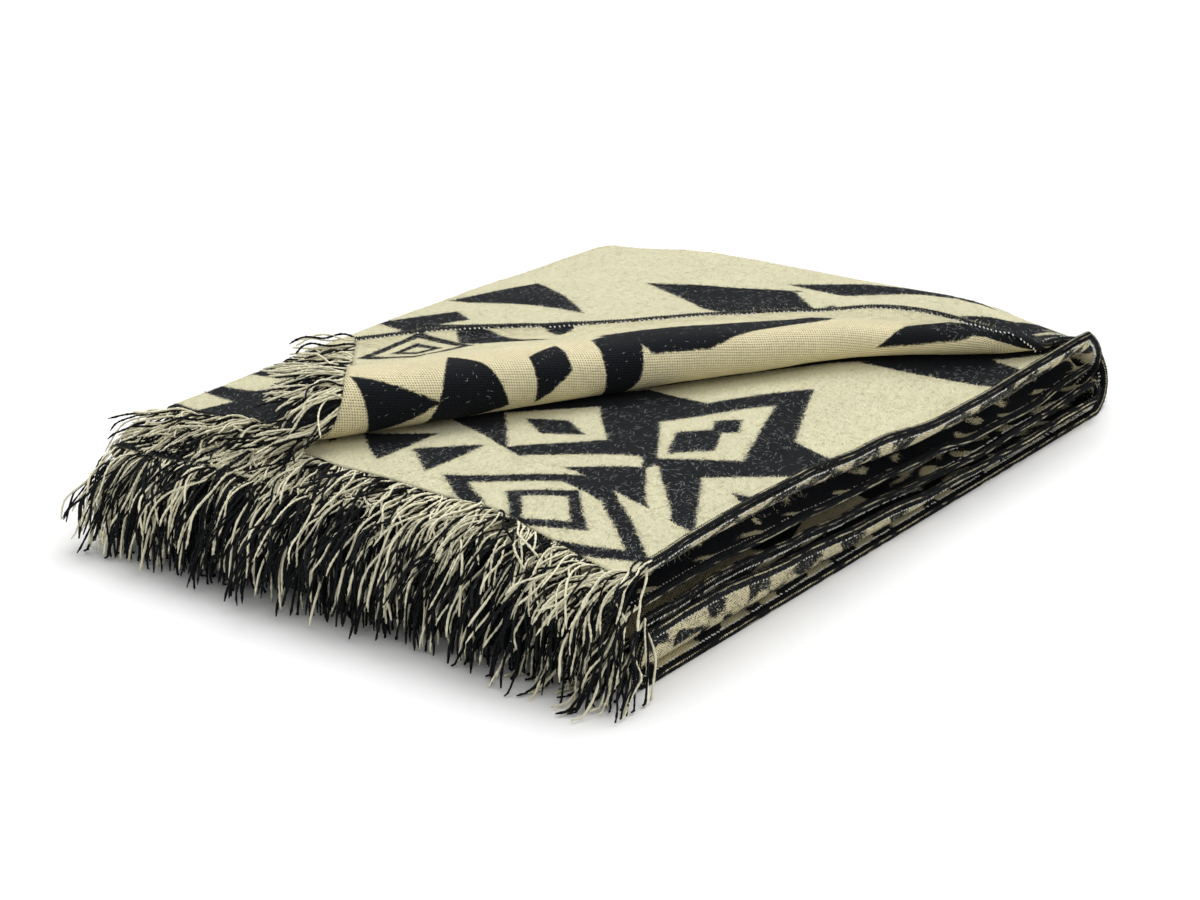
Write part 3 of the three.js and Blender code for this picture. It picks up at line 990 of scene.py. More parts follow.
@dataclass(frozen=True)
class ClothFinish:
    """The brushed jacquard: cream and charcoal, with hairy borders, and a woven ground where it is stretched.

    The sizes are in millimetres on the flat cloth.
    """

    light: Colour = (0.660, 0.628, 0.432, 1)
    tan: Colour = (0.800, 0.715, 0.460, 1)
    dark: Colour = (0.0032, 0.0042, 0.0062, 1)
    fleck: Colour = (0.044, 0.050, 0.056, 1)
    woven_reach: float = 3.2
    brushed_reach: float = 6.4
    border: float = 0.8
    block_length: float = 46.0
    block_row: float = 28.0
    block_border: float = 0.13
    hem_width: float = 20.0
    dot_length: float = 2.7
    dot_row: float = 2.2

    def chart(self, g: Graph, shapes: Sequence[Diamond | Wedge], spot: Socket) -> Socket:
        """One chart of the design.

        Args:
            g: the material's nodes.
            shapes: the chart's shapes, each over the ones before it.
            spot: the place on the flat cloth, with 1 as its third part.

        Returns:
            The distance outside its dark ink.
        """
        edge = shapes[0].distance(g, spot)
        for shape in shapes[1:]:
            away = shape.distance(g, spot)
            edge = g.least(edge, away) if shape.ink is Ink.DARK else g.greatest(edge, g.times(away, -1.0))
        return edge

    def hairs(self, g: Graph, flat: Socket) -> list[Socket]:
        """Places drawn out along the hairs, which lie two ways and curl.

        Args:
            g: the material's nodes.
            flat: the place on the flat cloth, apart for each face.

        Returns:
            One place for each way that the hairs lie.
        """
        curl = g.scaled(g.noise_colour(flat, 0.16, 1), (5.0, 5.0, 0.0))
        curled = g.node("ShaderNodeVectorMath", {0: flat, 1: curl}, operation="ADD").outputs[0]
        lies = []
        for angle in HAIR_WAYS:
            inputs = {"Vector": curled, "Angle": angle}
            turned = g.node("ShaderNodeVectorRotate", inputs, rotation_type="Z_AXIS").outputs[0]
            lies.append(g.scaled(turned, (0.22, 1.0, 1.0)))
        return lies

    def blocks(self, g: Graph, flat: Socket, p: Socket, q: Socket, cream: Socket, ragged: Socket) -> Socket:
        """Blocks of both colours in two offset rows along the hems.

        Args:
            g: the material's nodes.
            flat: the place on the flat cloth, apart for each face.
            p: the place along the cloth.
            q: the place across the cloth.
            cream: how much cream the blocks have.
            ragged: what the hairs add to a block's edge.

        Returns:
            1 where the ink is dark, and 0 where it is light.
        """
        wander = g.times(g.add(g.noise(g.scaled(flat, (1, 0.5, 1)), 0.028, 1), -0.5), 60.0)
        blocks = g.wave(g.add(g.add(p, g.times(q, 0.6)), wander), self.block_length)
        from_edge = g.least(q, g.less(2 * FOLD_Q, q))
        drift = g.times(g.add(g.noise(g.scaled(flat, (1, 0.4, 1)), 0.045, 1), -0.5), 26.0)
        rows = g.add(g.add(from_edge, drift), -7.0)
        rows = g.math("COSINE", g.times(rows, 2 * math.pi / self.block_row))
        level = g.add(g.times(blocks, g.ranged(rows, -1, 1, -0.8, 1.0)), cream)
        return g.step(g.add(level, ragged), self.block_border, -self.block_border)

    def build(self) -> bpy.types.Material:
        """The material.

        Returns:
            A material that reads the cloth's place, side, weave and hem blocks from its points.
        """
        g = Graph("brushed_jacquard")
        p, q, weave = g.node("ShaderNodeSeparateXYZ", {0: g.attribute("place").outputs["Vector"]}).outputs
        side = g.attribute("side").outputs["Fac"]
        hem_cream = g.attribute("hem_cream").outputs["Fac"]
        flat = g.vector(p, q, g.times(side, 40.0))
        over, under = self.hairs(g, flat)
        first = g.add(g.noise(over, 1.25, 2, 0.55), -0.5)
        second = g.add(g.noise(under, 1.5, 2, 0.55), -0.5)
        # the hairs carry the ink over its borders
        reach = g.mix(g.less(1.0, weave), self.woven_reach, self.brushed_reach)
        shift = g.times(first, reach)
        slow = g.times(g.add(g.noise(flat, 0.30, 2), -0.5), 1.6)
        moved_p = g.add(g.add(p, shift), slow)
        moved_q = g.add(g.add(q, g.times(second, reach)), slow)
        mirrored_p = g.math("PINGPONG", g.math("ABSOLUTE", moved_p), REPEAT)
        mirrored_q = g.math("PINGPONG", moved_q, FOLD_Q)
        spot = g.vector(mirrored_p, mirrored_q, 1.0)
        lower = g.math("GREATER_THAN", q, FOLD_Q)
        edge = g.mix(lower, self.chart(g, FLAP_CHART, spot), self.chart(g, LOWER_CHART, spot))
        inner = g.step(edge, self.border, -self.border)
        chart_ink = g.mix(side, g.less(1.0, inner), inner)
        ragged = g.add(g.times(first, 1.0), g.times(second, 0.8))
        block_ink = self.blocks(g, flat, moved_p, moved_q, hem_cream, ragged)
        from_hem = g.add(g.least(q, g.less(2 * FOLD_Q, q)), g.times(shift, 0.6))
        hem = g.step(from_hem, self.hem_width + 1, self.hem_width - 1)
        hem = g.times(hem, g.math("GREATER_THAN", hem_cream, LEAST_BLOCKS))
        ink = g.mix(hem, chart_ink, block_ink)
        # the weave: fine diagonal rows of dots
        column = g.wave(g.add(p, g.times(q, 0.45)), self.dot_length)
        dots = g.times(column, g.wave(g.add(q, g.times(p, -0.35)), self.dot_row))
        pit = g.step(dots, 0.25, 0.85)
        # the pile
        fuzz = g.noise(over, 2.6, 3, 0.6)
        fuzz_over = g.noise(under, 3.1, 3, 0.6)
        fine = g.noise(flat, 2.2, 3, 0.65)
        cloud = g.noise(flat, 0.035, 3, 0.55)
        felt = g.noise(g.scaled(over, (1.6, 1.0, 1.0)), 0.7, 3, 0.65)
        shade = g.add(g.times(cloud, 0.20), g.times(felt, 0.62))
        shade = g.add(g.add(shade, g.times(fuzz, 0.52)), g.add(g.times(fine, 0.44), 0.13))
        shade = g.less(shade, g.times(pit, g.mix(weave, 0.10, 0.85)))
        cream = g.toned(g.blend(weave, self.light, self.tan), shade)
        strands = g.greatest(g.step(fuzz, 0.52, 0.72), g.step(fuzz_over, 0.55, 0.74))
        dot_specks = g.times(g.step(g.add(dots, fine), 0.95, 1.25), g.times(weave, 0.22))
        specks = g.greatest(g.times(strands, g.mix(weave, 0.75, 0.28)), dot_specks)
        colour = g.blend(ink, cream, g.blend(specks, self.dark, self.fleck))
        pile = g.add(g.times(g.add(fuzz, fuzz_over), 0.45), g.times(felt, 0.6))
        woven = g.add(g.times(dots, -0.34), g.times(fine, 0.35))
        relief = g.add(g.times(pile, g.mix(weave, 1.0, 0.35)), g.times(woven, g.mix(weave, 0.25, 1.0)))
        return g.finish(colour, 0.92, relief, 0.7, 0.0009, 0.02)


@dataclass(frozen=True)
class YarnFinish:
    """Twisted yarn, cream or charcoal by the yarn."""

    light: Colour = (0.88, 0.84, 0.62, 1)
    dark: Colour = (0.0045, 0.0052, 0.0065, 1)
    lint: Colour = (0.05, 0.052, 0.05, 1)
    twist: float = 0.9

    def build(self) -> bpy.types.Material:
        """The material.

        Returns:
            A material that reads each point's yarn vector: its way along, its colour and its shade.
        """
        g = Graph("twisted_yarn")
        split = g.node("ShaderNodeSeparateXYZ", {0: g.attribute("yarn").outputs["Vector"]})
        along, ink, shade = split.outputs
        place = g.node("ShaderNodeNewGeometry").outputs["Position"]
        lint = g.noise(place, 900, 2)
        tone = g.ranged(g.add(shade, g.times(lint, 0.35)), 0.0, 1.35, 0.78, 1.12)
        dark = g.blend(g.times(g.step(lint, 0.5, 0.8), 0.3), self.dark, self.lint)
        colour = g.blend(ink, g.toned(self.light, tone), dark)
        twist = g.wave(along, self.twist)
        return g.finish(colour, 0.85, g.add(g.times(twist, 0.4), lint), 0.3, 0.0002, 0.03)


@dataclass(frozen=True)
class ThreadFinish:
    """Sewing thread of one colour."""

    name: str
    colour: Colour

    def build(self) -> bpy.types.Material:
        """The material.

        Returns:
            A thread's colour with a little lint.
        """
        g = Graph(self.name)
        place = g.node("ShaderNodeNewGeometry").outputs["Position"]
        lint = g.noise(place, 1500, 3)
        tone = g.ranged(lint, 0.3, 0.7, 0.7, 1.25)
        return g.finish(g.toned(self.colour, tone), 0.7, lint, 0.25, 0.0002, 0.03)


@dataclass(frozen=True)
class FibreFinish:
    """Loose fibres, each with its own colour."""

    def build(self) -> bpy.types.Material:
        """The material.

        Returns:
            A material that reads each fibre's colour from its points' tint.
        """
        g = Graph("loose_fibres")
        tint = g.attribute("tint").outputs["Vector"]
        place = g.node("ShaderNodeNewGeometry").outputs["Position"]
        lint = g.noise(place, 700, 2)
        tone = g.ranged(lint, 0.3, 0.7, 0.85, 1.15)
        return g.finish(g.toned(tint, tone), 0.9, lint, 0.1, 0.0001, 0.03)


# The cloth


@dataclass
class Cloth:
    """The blanket's one sheet, on the folds of its solid."""

    form: FoldedForm
    lump: float = 0.55
    lump_lengths: tuple[float, float] = (34, 15)
    lumps_from: float = 1.4
    lumps_full: float = 12
    flap_curl: float = 3.2
    curl_width: float = 13.0
    lip_depth: float = 22
    finish: ClothFinish = field(default_factory=ClothFinish)

    def __post_init__(self) -> None:
        """Works out the grid, its normals and each point's place on the flat cloth."""
        self.grid = self.softened(self.form.grid())
        self.normals = grid_normals(self.grid)
        along = np.linalg.norm(np.diff(self.grid, axis=0), axis=2)
        self.p = np.concatenate([np.zeros((1, along.shape[1])), np.cumsum(along, axis=0)])
        across = np.linalg.norm(np.diff(self.grid, axis=1), axis=2)
        self.half = len(self.form.lines_a)
        from_a = np.concatenate([np.zeros((len(across), 1)), np.cumsum(across, axis=1)], axis=1)
        from_b = from_a[:, -1:] - from_a
        middle = self.half - 1 + self.form.fold_steps // 2
        q_a = from_a * FOLD_Q / from_a[:, middle : middle + 1]
        q_b = 2 * FOLD_Q - from_b * FOLD_Q / from_b[:, middle : middle + 1]
        self.q = np.where(np.arange(from_a.shape[1]) <= middle, q_a, q_b)

    def softened(self, grid: Array) -> Array:
        """The grid with the small lumps of soft cloth and the flap's curled hem, kept off the floor.

        Args:
            grid: the middle of the cloth, as (row, column, xyz).

        Returns:
            The same points, moved.
        """
        flat = grid.reshape(-1, 3)
        large, small = self.lump_lengths
        lumps = value_noise(flat * (1, 1, 2.2), large, 3) + 0.5 * value_noise(flat * (1, 1, 2.2), small, 4)
        held = smoothstep(flat[:, 2], self.lumps_from, self.lumps_full)
        moved = grid + (self.lump * (lumps * held).reshape(grid.shape[:2]))[..., None] * grid_normals(grid)
        flap, across = self.form.legs[0].steps + 1, len(self.form.lines_a)
        steps = np.linalg.norm(np.diff(grid[:flap, :across], axis=1), axis=2)
        inward = np.concatenate([np.zeros((flap, 1)), np.cumsum(steps, axis=1)], axis=1)
        # the flap's hem curls up, and lies down again by the far end
        curl = (1 - np.clip(inward / self.curl_width, 0, 1)) ** 1.6
        fade = 1 - smoothstep(np.linspace(0, 1, flap), 0.8, 0.98)
        uneven = 1 + 0.35 * value_noise(np.arange(flap)[:, None], 9, 8)
        moved[:flap, :across, 2] += self.flap_curl * curl * (fade * uneven)[:, None]
        moved[..., 2] = np.maximum(moved[..., 2], self.form.thickness / 2)
        return moved

    def build(self) -> bpy.types.Object:
        """The closed sheet with its material.

        Returns:
            The sheet, with the values on its points that its material reads.
        """
        rows, columns = self.grid.shape[:2]
        half = self.form.thickness / 2
        faces_out = [self.grid + side * half * self.normals for side in (1, -1)]
        verts = np.concatenate([face.reshape(-1, 3) for face in faces_out])
        i, j = np.meshgrid(np.arange(rows - 1), np.arange(columns - 1), indexing="ij")
        a = (i * columns + j).ravel()
        b, c, d = a + columns, a + columns + 1, a + 1
        shell = rows * columns
        parts = [np.stack([a, b, c, d], -1), np.stack([a, d, c, b], -1) + shell]
        start, end = np.arange(rows - 1) * columns, np.arange(rows - 1) * columns + columns - 1
        parts.append(np.stack([start, start + shell, start + columns + shell, start + columns], -1))
        parts.append(np.stack([end + columns, end + columns + shell, end + shell, end], -1))
        first, last = np.arange(columns - 1), (rows - 1) * columns + np.arange(columns - 1)
        parts.append(np.stack([first + 1, first + 1 + shell, first + shell, first], -1))
        parts.append(np.stack([last, last + shell, last + 1 + shell, last + 1], -1))
        piece = mesh_object("blanket_sheet", self.form.framed(verts), np.concatenate(parts))
        place = np.stack([self.p, self.q, np.zeros_like(self.p)], -1).reshape(-1, 3)
        outer, inner = place.copy(), place.copy()
        lower = self.q.ravel() > FOLD_Q
        lip = np.minimum(self.q, 2 * FOLD_Q - self.q).ravel() < self.lip_depth
        outer[:, 2] = np.where(lip & lower, 1.0, 0.0)
        inner[:, 2] = np.where(lower, 0.0, self.stretch().ravel())
        point_values(piece, "place", np.concatenate([outer, inner]))
        point_values(piece, "side", np.repeat([0.0, 1.0], shell))
        point_values(piece, "hem_cream", np.concatenate(self.hem_cream()))
        piece.data.materials.append(self.finish.build())
        return piece

    def stretch(self) -> Array:
        """How far the weave shows on the inner face of half a.

        Returns:
            1 where the face is hidden and on the roll, and less on the flat of the flap.
        """
        first_leg = np.arange(len(self.grid))[:, None] <= self.form.legs[0].steps
        from_roll = np.abs(np.arange(self.grid.shape[1]) - (self.form.flap_lines + self.form.roll_lines / 2))
        near_roll = 1 - smoothstep(from_roll, self.form.roll_lines * 0.5, self.form.roll_lines * 0.5 + 7)
        return np.where(first_leg, 0.3 + 0.7 * near_roll[None, :], 1.0)

    def hem_cream(self) -> list[Array]:
        """How much cream the hems' blocks have: over 0 for more cream, and NO_BLOCKS where there are none.

        Returns:
            One value for each point of the outer face, and of the inner face.
        """
        rows = np.cumsum([0] + [leg.steps for leg in self.form.legs])
        row = np.arange(len(self.grid))[:, None] + np.zeros_like(self.q)
        first, last = row <= rows[1], row > rows[-2]
        outer_a = np.where(first, NO_BLOCKS, -0.2)
        # Half b's outer face on its last layer is the top of the layer with the second hem. There, under the
        # first hem's lip, the blocks are mostly dark (-0.62): partly the cloth's own dark blocks and partly
        # painted shade for the shade under the lip.
        outer_b = np.where(first, -0.16, np.where(last, -0.62, 0.08))
        inner_a = np.where(first, NO_BLOCKS, np.where(last, -0.25, 0.05))
        inner_b = np.where(first, NO_BLOCKS, 0.0)
        half_a = self.q < FOLD_Q
        return [np.where(half_a, *values).ravel() for values in ((outer_a, outer_b), (inner_a, inner_b))]


# Loose fibres


@dataclass
class Nap:
    """Loose fibres of one face where it shows: short, curled, and thickest where the two inks meet."""

    cloth: Cloth
    name: str
    face: int
    count: int
    seed: int
    length: tuple[float, float] = (1.8, 4.4)
    width: float = 0.21
    border: float = 2.6
    hem_share: float = 0.8
    plain_share: float = 0.34
    border_share: float = 0.6
    woven_loss: float = 0.72
    hem_depth: float = 24
    block_depth: float = 20
    block_light: float = 0.3
    pale_share: float = 0.34
    top_end: float = 470
    light: tuple[float, float, float] = (0.66, 0.628, 0.43)
    dark: tuple[float, float, float] = (0.010, 0.012, 0.015)
    pale: tuple[float, float, float] = (0.26, 0.27, 0.26)

    def shown(self, pitch: float = 4.0, margin: float = 2.4) -> Array:
        """Which cells of the cloth's grid show from above or from a side.

        Args:
            pitch: the size of the squares that the first cell is looked for in, in millimetres.
            margin: how far behind the first a cell may lie.

        Returns:
            True for each cell that shows.
        """
        grid = self.cloth.grid
        cells = (grid[:-1, :-1] + grid[1:, 1:]) / 2
        outs = self.face * self.cloth.normals[:-1, :-1]
        between = (grid[:-1] + grid[1:]) / 2, (grid[:, :-1] + grid[:, 1:]) / 2
        points = np.concatenate([part.reshape(-1, 3) for part in (grid, cells, *between)])
        seen = np.zeros(cells.shape[:2], dtype=bool)
        for axis, sign in ((2, 1), (0, -1), (0, 1), (1, -1), (1, 1)):
            others = [k for k in range(3) if k != axis]
            keys = np.floor(points[:, others] / pitch).astype(int)
            low = keys.min(axis=0)
            front = np.full(keys.max(axis=0) - low + 1, -1e9)
            np.maximum.at(front, tuple((keys - low).T), sign * points[:, axis])
            mine = np.floor(cells[..., others] / pitch).astype(int) - low
            first = sign * cells[..., axis] > front[mine[..., 0], mine[..., 1]] - margin
            seen |= first & (sign * outs[..., axis] > 0.35)
        return seen

    def roots(self, rng: np.random.Generator) -> dict[str, Array]:
        """The fibres' roots.

        Args:
            rng: where the random numbers come from.

        Returns:
            For each root its place, the ways out, along and across, how woven the face is, and p and q.
        """
        cloth, grid = self.cloth, self.cloth.grid
        along, across = np.gradient(grid, axis=0), np.gradient(grid, axis=1)
        area = np.linalg.norm(np.cross(along, across), axis=2)[:-1, :-1] * self.shown()
        tries = 5 * self.count
        cell = rng.choice(area.size, size=tries, p=area.ravel() / area.sum())
        i, j = np.unravel_index(cell, area.shape)
        s, t = rng.uniform(size=(2, tries))

        def at(values: Array) -> Array:
            """The values at each root, between its cell's four corners.

            Args:
                values: a value, or a row of three, for each point of the grid.

            Returns:
                One for each root.
            """
            a, b = (s, t) if values.ndim == 2 else (s[:, None], t[:, None])
            near = values[i, j] * (1 - a) + values[i + 1, j] * a
            far = values[i, j + 1] * (1 - a) + values[i + 1, j + 1] * a
            return near * (1 - b) + far * b

        found = {"p": at(cloth.p), "q": at(cloth.q), "out": self.face * unit(at(cloth.normals))}
        found["place"] = at(grid) + 0.5 * cloth.form.thickness * found["out"]
        found["along"], found["across"] = unit(at(along)), unit(at(across))
        found["woven"] = at(cloth.stretch() * np.ones_like(cloth.q)) * (self.face < 0) * (found["q"] < FOLD_Q)
        border = np.exp(-((darkness(found["p"], found["q"]) / self.border) ** 2))
        by_hem = np.minimum(found["q"], 2 * FOLD_Q - found["q"]) < self.hem_depth
        inside = (self.plain_share + self.border_share * border) * (1 - self.woven_loss * found["woven"])
        chance = np.where(by_hem, self.hem_share, inside)
        chosen = np.flatnonzero(rng.uniform(size=tries) < chance)[: self.count]
        return {key: values[chosen] for key, values in found.items()}

    def build(self, material: bpy.types.Material) -> bpy.types.Object:
        """The fibres as one mesh of narrow tapering ribbons.

        Args:
            material: their material.

        Returns:
            The piece, with each fibre's colour on its points.
        """
        rng = np.random.default_rng(self.seed)
        root = self.roots(rng)
        count = len(root["p"])
        flat = np.stack([root["p"], root["q"]], -1)
        angle = rng.choice(HAIR_WAYS, size=count) + 0.8 * value_noise(flat, 8, self.seed)
        angle = angle + 0.35 * rng.normal(size=count)
        way = rng.choice([-1.0, 1.0], size=count)[:, None]
        ahead = way * (np.cos(angle)[:, None] * root["along"] + np.sin(angle)[:, None] * root["across"])
        aside = np.cross(root["out"], ahead)
        length = rng.uniform(*self.length, size=(count, 1)) * np.where(root["woven"] > 0.6, 0.6, 1.0)[:, None]
        bend = rng.normal(scale=0.3, size=(count, 1))
        rise = rng.uniform(0.12, 0.5, size=(2, count, 1))
        middle = root["place"] + 0.5 * length * ahead + rise[0] * root["out"]
        tip = root["place"] + length * (0.9 * ahead + bend * aside) + rise[1] * root["out"]
        half = 0.5 * self.width * rng.uniform(0.7, 1.3, size=(count, 1)) * aside
        lines = (root["place"], half), (middle, half), (tip, 0.3 * half)
        verts = np.stack([place + sign * reach for place, reach in lines for sign in (-1, 1)], 1)
        first = 6 * np.arange(count)[:, None]
        faces = np.concatenate([first + [0, 1, 3, 2], first + [2, 3, 5, 4]])
        piece = mesh_object(self.name, self.cloth.form.framed(verts.reshape(-1, 3)), faces)
        inside = darkness(root["p"], root["q"]) * -self.face
        near_hem = np.minimum(root["q"], 2 * FOLD_Q - root["q"]) < self.block_depth
        plain_hem = (root["p"] < self.top_end) & ((root["q"] < FOLD_Q) | (self.face < 0))
        is_light = np.where(near_hem & ~plain_hem, rng.uniform(size=count) < self.block_light, inside > 0)
        pale = rng.uniform(size=count) < self.pale_share
        tint = np.where(is_light[:, None], self.light, np.where(pale[:, None], self.pale, self.dark))
        tint = tint * rng.uniform(0.66, 1.22, size=(count, 1))
        point_values(piece, "tint", np.repeat(tint, 6, axis=0))
        piece.data.materials.append(material)
        return piece


# Fringe


@dataclass(frozen=True)
class Tier:
    """One fringed end: its layer, its number of yarns, and how they leave the cloth and hang.

    droop is how far a yarn turns down by its tip and rise how far up it starts, in degrees. fall over 1 keeps
    the turn for the tip, and under 1 makes it early. length is in millimetres.
    """

    name: str
    node: str
    layer: int
    yarns: int
    droop: tuple[float, float]
    rise: float
    length: tuple[float, float]
    dark_and_shade_share: float
    fall: float
    seed: int


# The lower tiers' larger shares of dark yarns are partly their own black yarns and partly painted shade, for
# the shade that falls under the tiers above them.
TIERS = (
    Tier("yarns_flap", "fringe_flap", 0, 300, (4, 26), 0, (34, 48), 0.42, 1.25, 101),
    Tier("yarns_top", "fringe_top", 1, 460, (44, 92), 8, (40, 54), 0.38, 1.3, 202),
    Tier("yarns_middle", "fringe_middle", 2, 400, (56, 88), -4, (44, 58), 0.70, 0.85, 303),
    Tier("yarns_bottom", "fringe_bottom", 3, 380, (60, 88), -10, (50, 64), 0.76, 0.8, 404),
)


@dataclass
class Fringe:
    """The twisted yarns of one fringed end."""

    cloth: Cloth
    tier: Tier
    material: bpy.types.Material
    steps: int = 17
    radius: float = 0.66
    rise_most: float = 4.0
    spread_most: float = 9.0
    clump: float = 9.0
    drift: float = 42.0
    sides: int = 6
    ply: float = 0.14
    ply_turn: float = 14.0

    def edge(self) -> tuple[Array, Array]:
        """The fringed end of the cloth.

        Returns:
            Its line of points, from the hem, and the way out of the cloth at each.
        """
        grid, form = self.cloth.grid, self.cloth.form
        first = self.tier.layer < 2
        line, inside = (grid[0], grid[2]) if first else (grid[-1], grid[-3])
        count_a, count_b = len(form.lines_a), len(form.lines_b)
        part = slice(0, count_a) if self.tier.layer in (0, 3) else slice(-count_b, None)
        line, inside = line[part], inside[part]
        if self.tier.layer in (1, 2):
            line, inside = line[::-1], inside[::-1]
        return line, unit(line - inside)

    def support(self, u: Array, v: Array) -> Array:
        """The height of what lies under this tier's yarns.

        Args:
            u: places along the hemmed side.
            v: places across.

        Returns:
            One height for each place, 0 for the floor.
        """
        form = self.cloth.form
        height = np.zeros_like(u)
        for index in (3, 2, 1, 0):
            below = index > self.tier.layer or (self.tier.layer == 0 and index == 0)
            if below:
                on = smoothstep(u - form.near_end(index, v), -3.5, 0.5) * (v < form.width + 1)
                top = form.height(index, u, np.clip(v, 0, form.width)) + form.thickness / 2
                height = np.where(on > 0, np.maximum(height, top * on), height)
        return height

    def paths(self) -> Array:
        """The middle lines of the yarns, which bend and wave in clumps and rest on what is under them.

        Returns:
            Their points, as (yarn, step, xyz).
        """
        tier, form, rng = self.tier, self.cloth.form, np.random.default_rng(self.tier.seed)
        line, out = self.edge()
        lengths = np.concatenate([[0], np.cumsum(np.linalg.norm(np.diff(line, axis=0), axis=1))])
        share = (np.arange(tier.yarns) + rng.uniform(-0.4, 0.4, tier.yarns)) / tier.yarns
        at = np.clip(share, 0, 1) * lengths[-1]
        root = np.stack([np.interp(at, lengths, line[:, k]) for k in range(3)], -1)
        away = unit(np.stack([np.interp(at, lengths, out[:, k]) for k in range(3)], -1))
        clump = np.stack([value_noise(at[:, None], self.clump, tier.seed + k) for k in range(5)], -1)
        wide = value_noise(at[:, None], self.drift, tier.seed + 20)
        level = unit(away * (1, 1, 0))
        sideways = np.stack([-level[:, 1], level[:, 0], np.zeros(tier.yarns)], -1)
        reach = rng.uniform(*tier.length, tier.yarns)
        pitch0 = np.arcsin(np.clip(away[:, 2], -0.95, 0.95)) * 0.6 + np.radians(tier.rise)
        pitch0 = pitch0 + np.radians(11) * clump[:, 0] + np.radians(9) * rng.normal(size=tier.yarns)
        bend = np.radians(rng.uniform(*tier.droop, tier.yarns) + 14 * clump[:, 1])
        yaw0 = np.radians(22 * clump[:, 2] + 14 * rng.normal(size=tier.yarns) + 10 * wide)
        curl = np.radians(26 * rng.normal(size=tier.yarns) + 18 * clump[:, 3])
        wave = rng.uniform(0.6, 1.6, tier.yarns)
        phase = rng.uniform(0, 2 * math.pi, tier.yarns)
        sway = np.radians(rng.uniform(6, 25, tier.yarns))
        points = [root + rng.uniform(-0.5, 0.5, (tier.yarns, 1)) * (0, 0, 1)]
        step = (reach / (self.steps - 1))[:, None]
        for k in range(1, self.steps):
            s = k / (self.steps - 1)
            nod = 0.6 * sway * np.sin(2 * math.pi * wave * 1.3 * s + phase * 1.7)
            pitch = pitch0 - bend * s**tier.fall + nod
            yaw = yaw0 + curl * s + sway * np.sin(2 * math.pi * wave * s + phase)
            flat = level * np.cos(yaw)[:, None] + sideways * np.sin(yaw)[:, None]
            way = flat * np.cos(pitch)[:, None]
            way[:, 2] += np.sin(pitch)
            place = points[-1] + way * step
            low = self.support(place[:, 0], place[:, 1]) + self.radius * 1.25
            place[:, 2] = np.minimum(place[:, 2], root[:, 2] + self.rise_most)
            place[:, 2] = np.maximum(place[:, 2], low + 0.8 * (1 + clump[:, 4]) * (low < 3))
            place[:, 1] = np.clip(place[:, 1], -self.spread_most, form.width + self.spread_most)
            points.append(place)
        return np.stack(points, axis=1)

    def build(self) -> bpy.types.Object:
        """The tier's yarns as one joined mesh.

        Returns:
            The piece, with each yarn's way along, colour and shade on its points.
        """
        tier, rng = self.tier, np.random.default_rng(self.tier.seed + 500)
        paths = self.paths()
        count, steps = paths.shape[:2]
        thick = self.radius * rng.uniform(0.85, 1.12, count)
        along = np.linspace(0, 1, steps)
        taper = 1 - 0.45 * smoothstep(along, 0.93, 1.0)
        lengths = np.linalg.norm(np.diff(paths, axis=1), axis=2).sum(axis=1)
        turns = 2 * math.pi * along * (lengths / self.ply_turn)[:, None] + rng.uniform(0, 6.28, (count, 1))
        verts, faces = tubes(paths, thick[:, None] * taper, self.sides, self.ply, turns)
        piece = mesh_object(tier.name, self.cloth.form.framed(verts), faces)
        # dark yarns by the tier's share, which in the lower tiers is partly painted shade
        dark = (rng.uniform(size=count) < tier.dark_and_shade_share).astype(float)
        shade = rng.uniform(0, 1, count)
        data = np.zeros((count, steps, self.sides, 3))
        data[..., 0] = (along * lengths[:, None])[..., None]
        data[..., 1] = dark[:, None, None]
        data[..., 2] = shade[:, None, None]
        point_values(piece, "yarn", data.reshape(-1, 3))
        piece.data.materials.append(self.material)
        return piece


# Overlocked hems


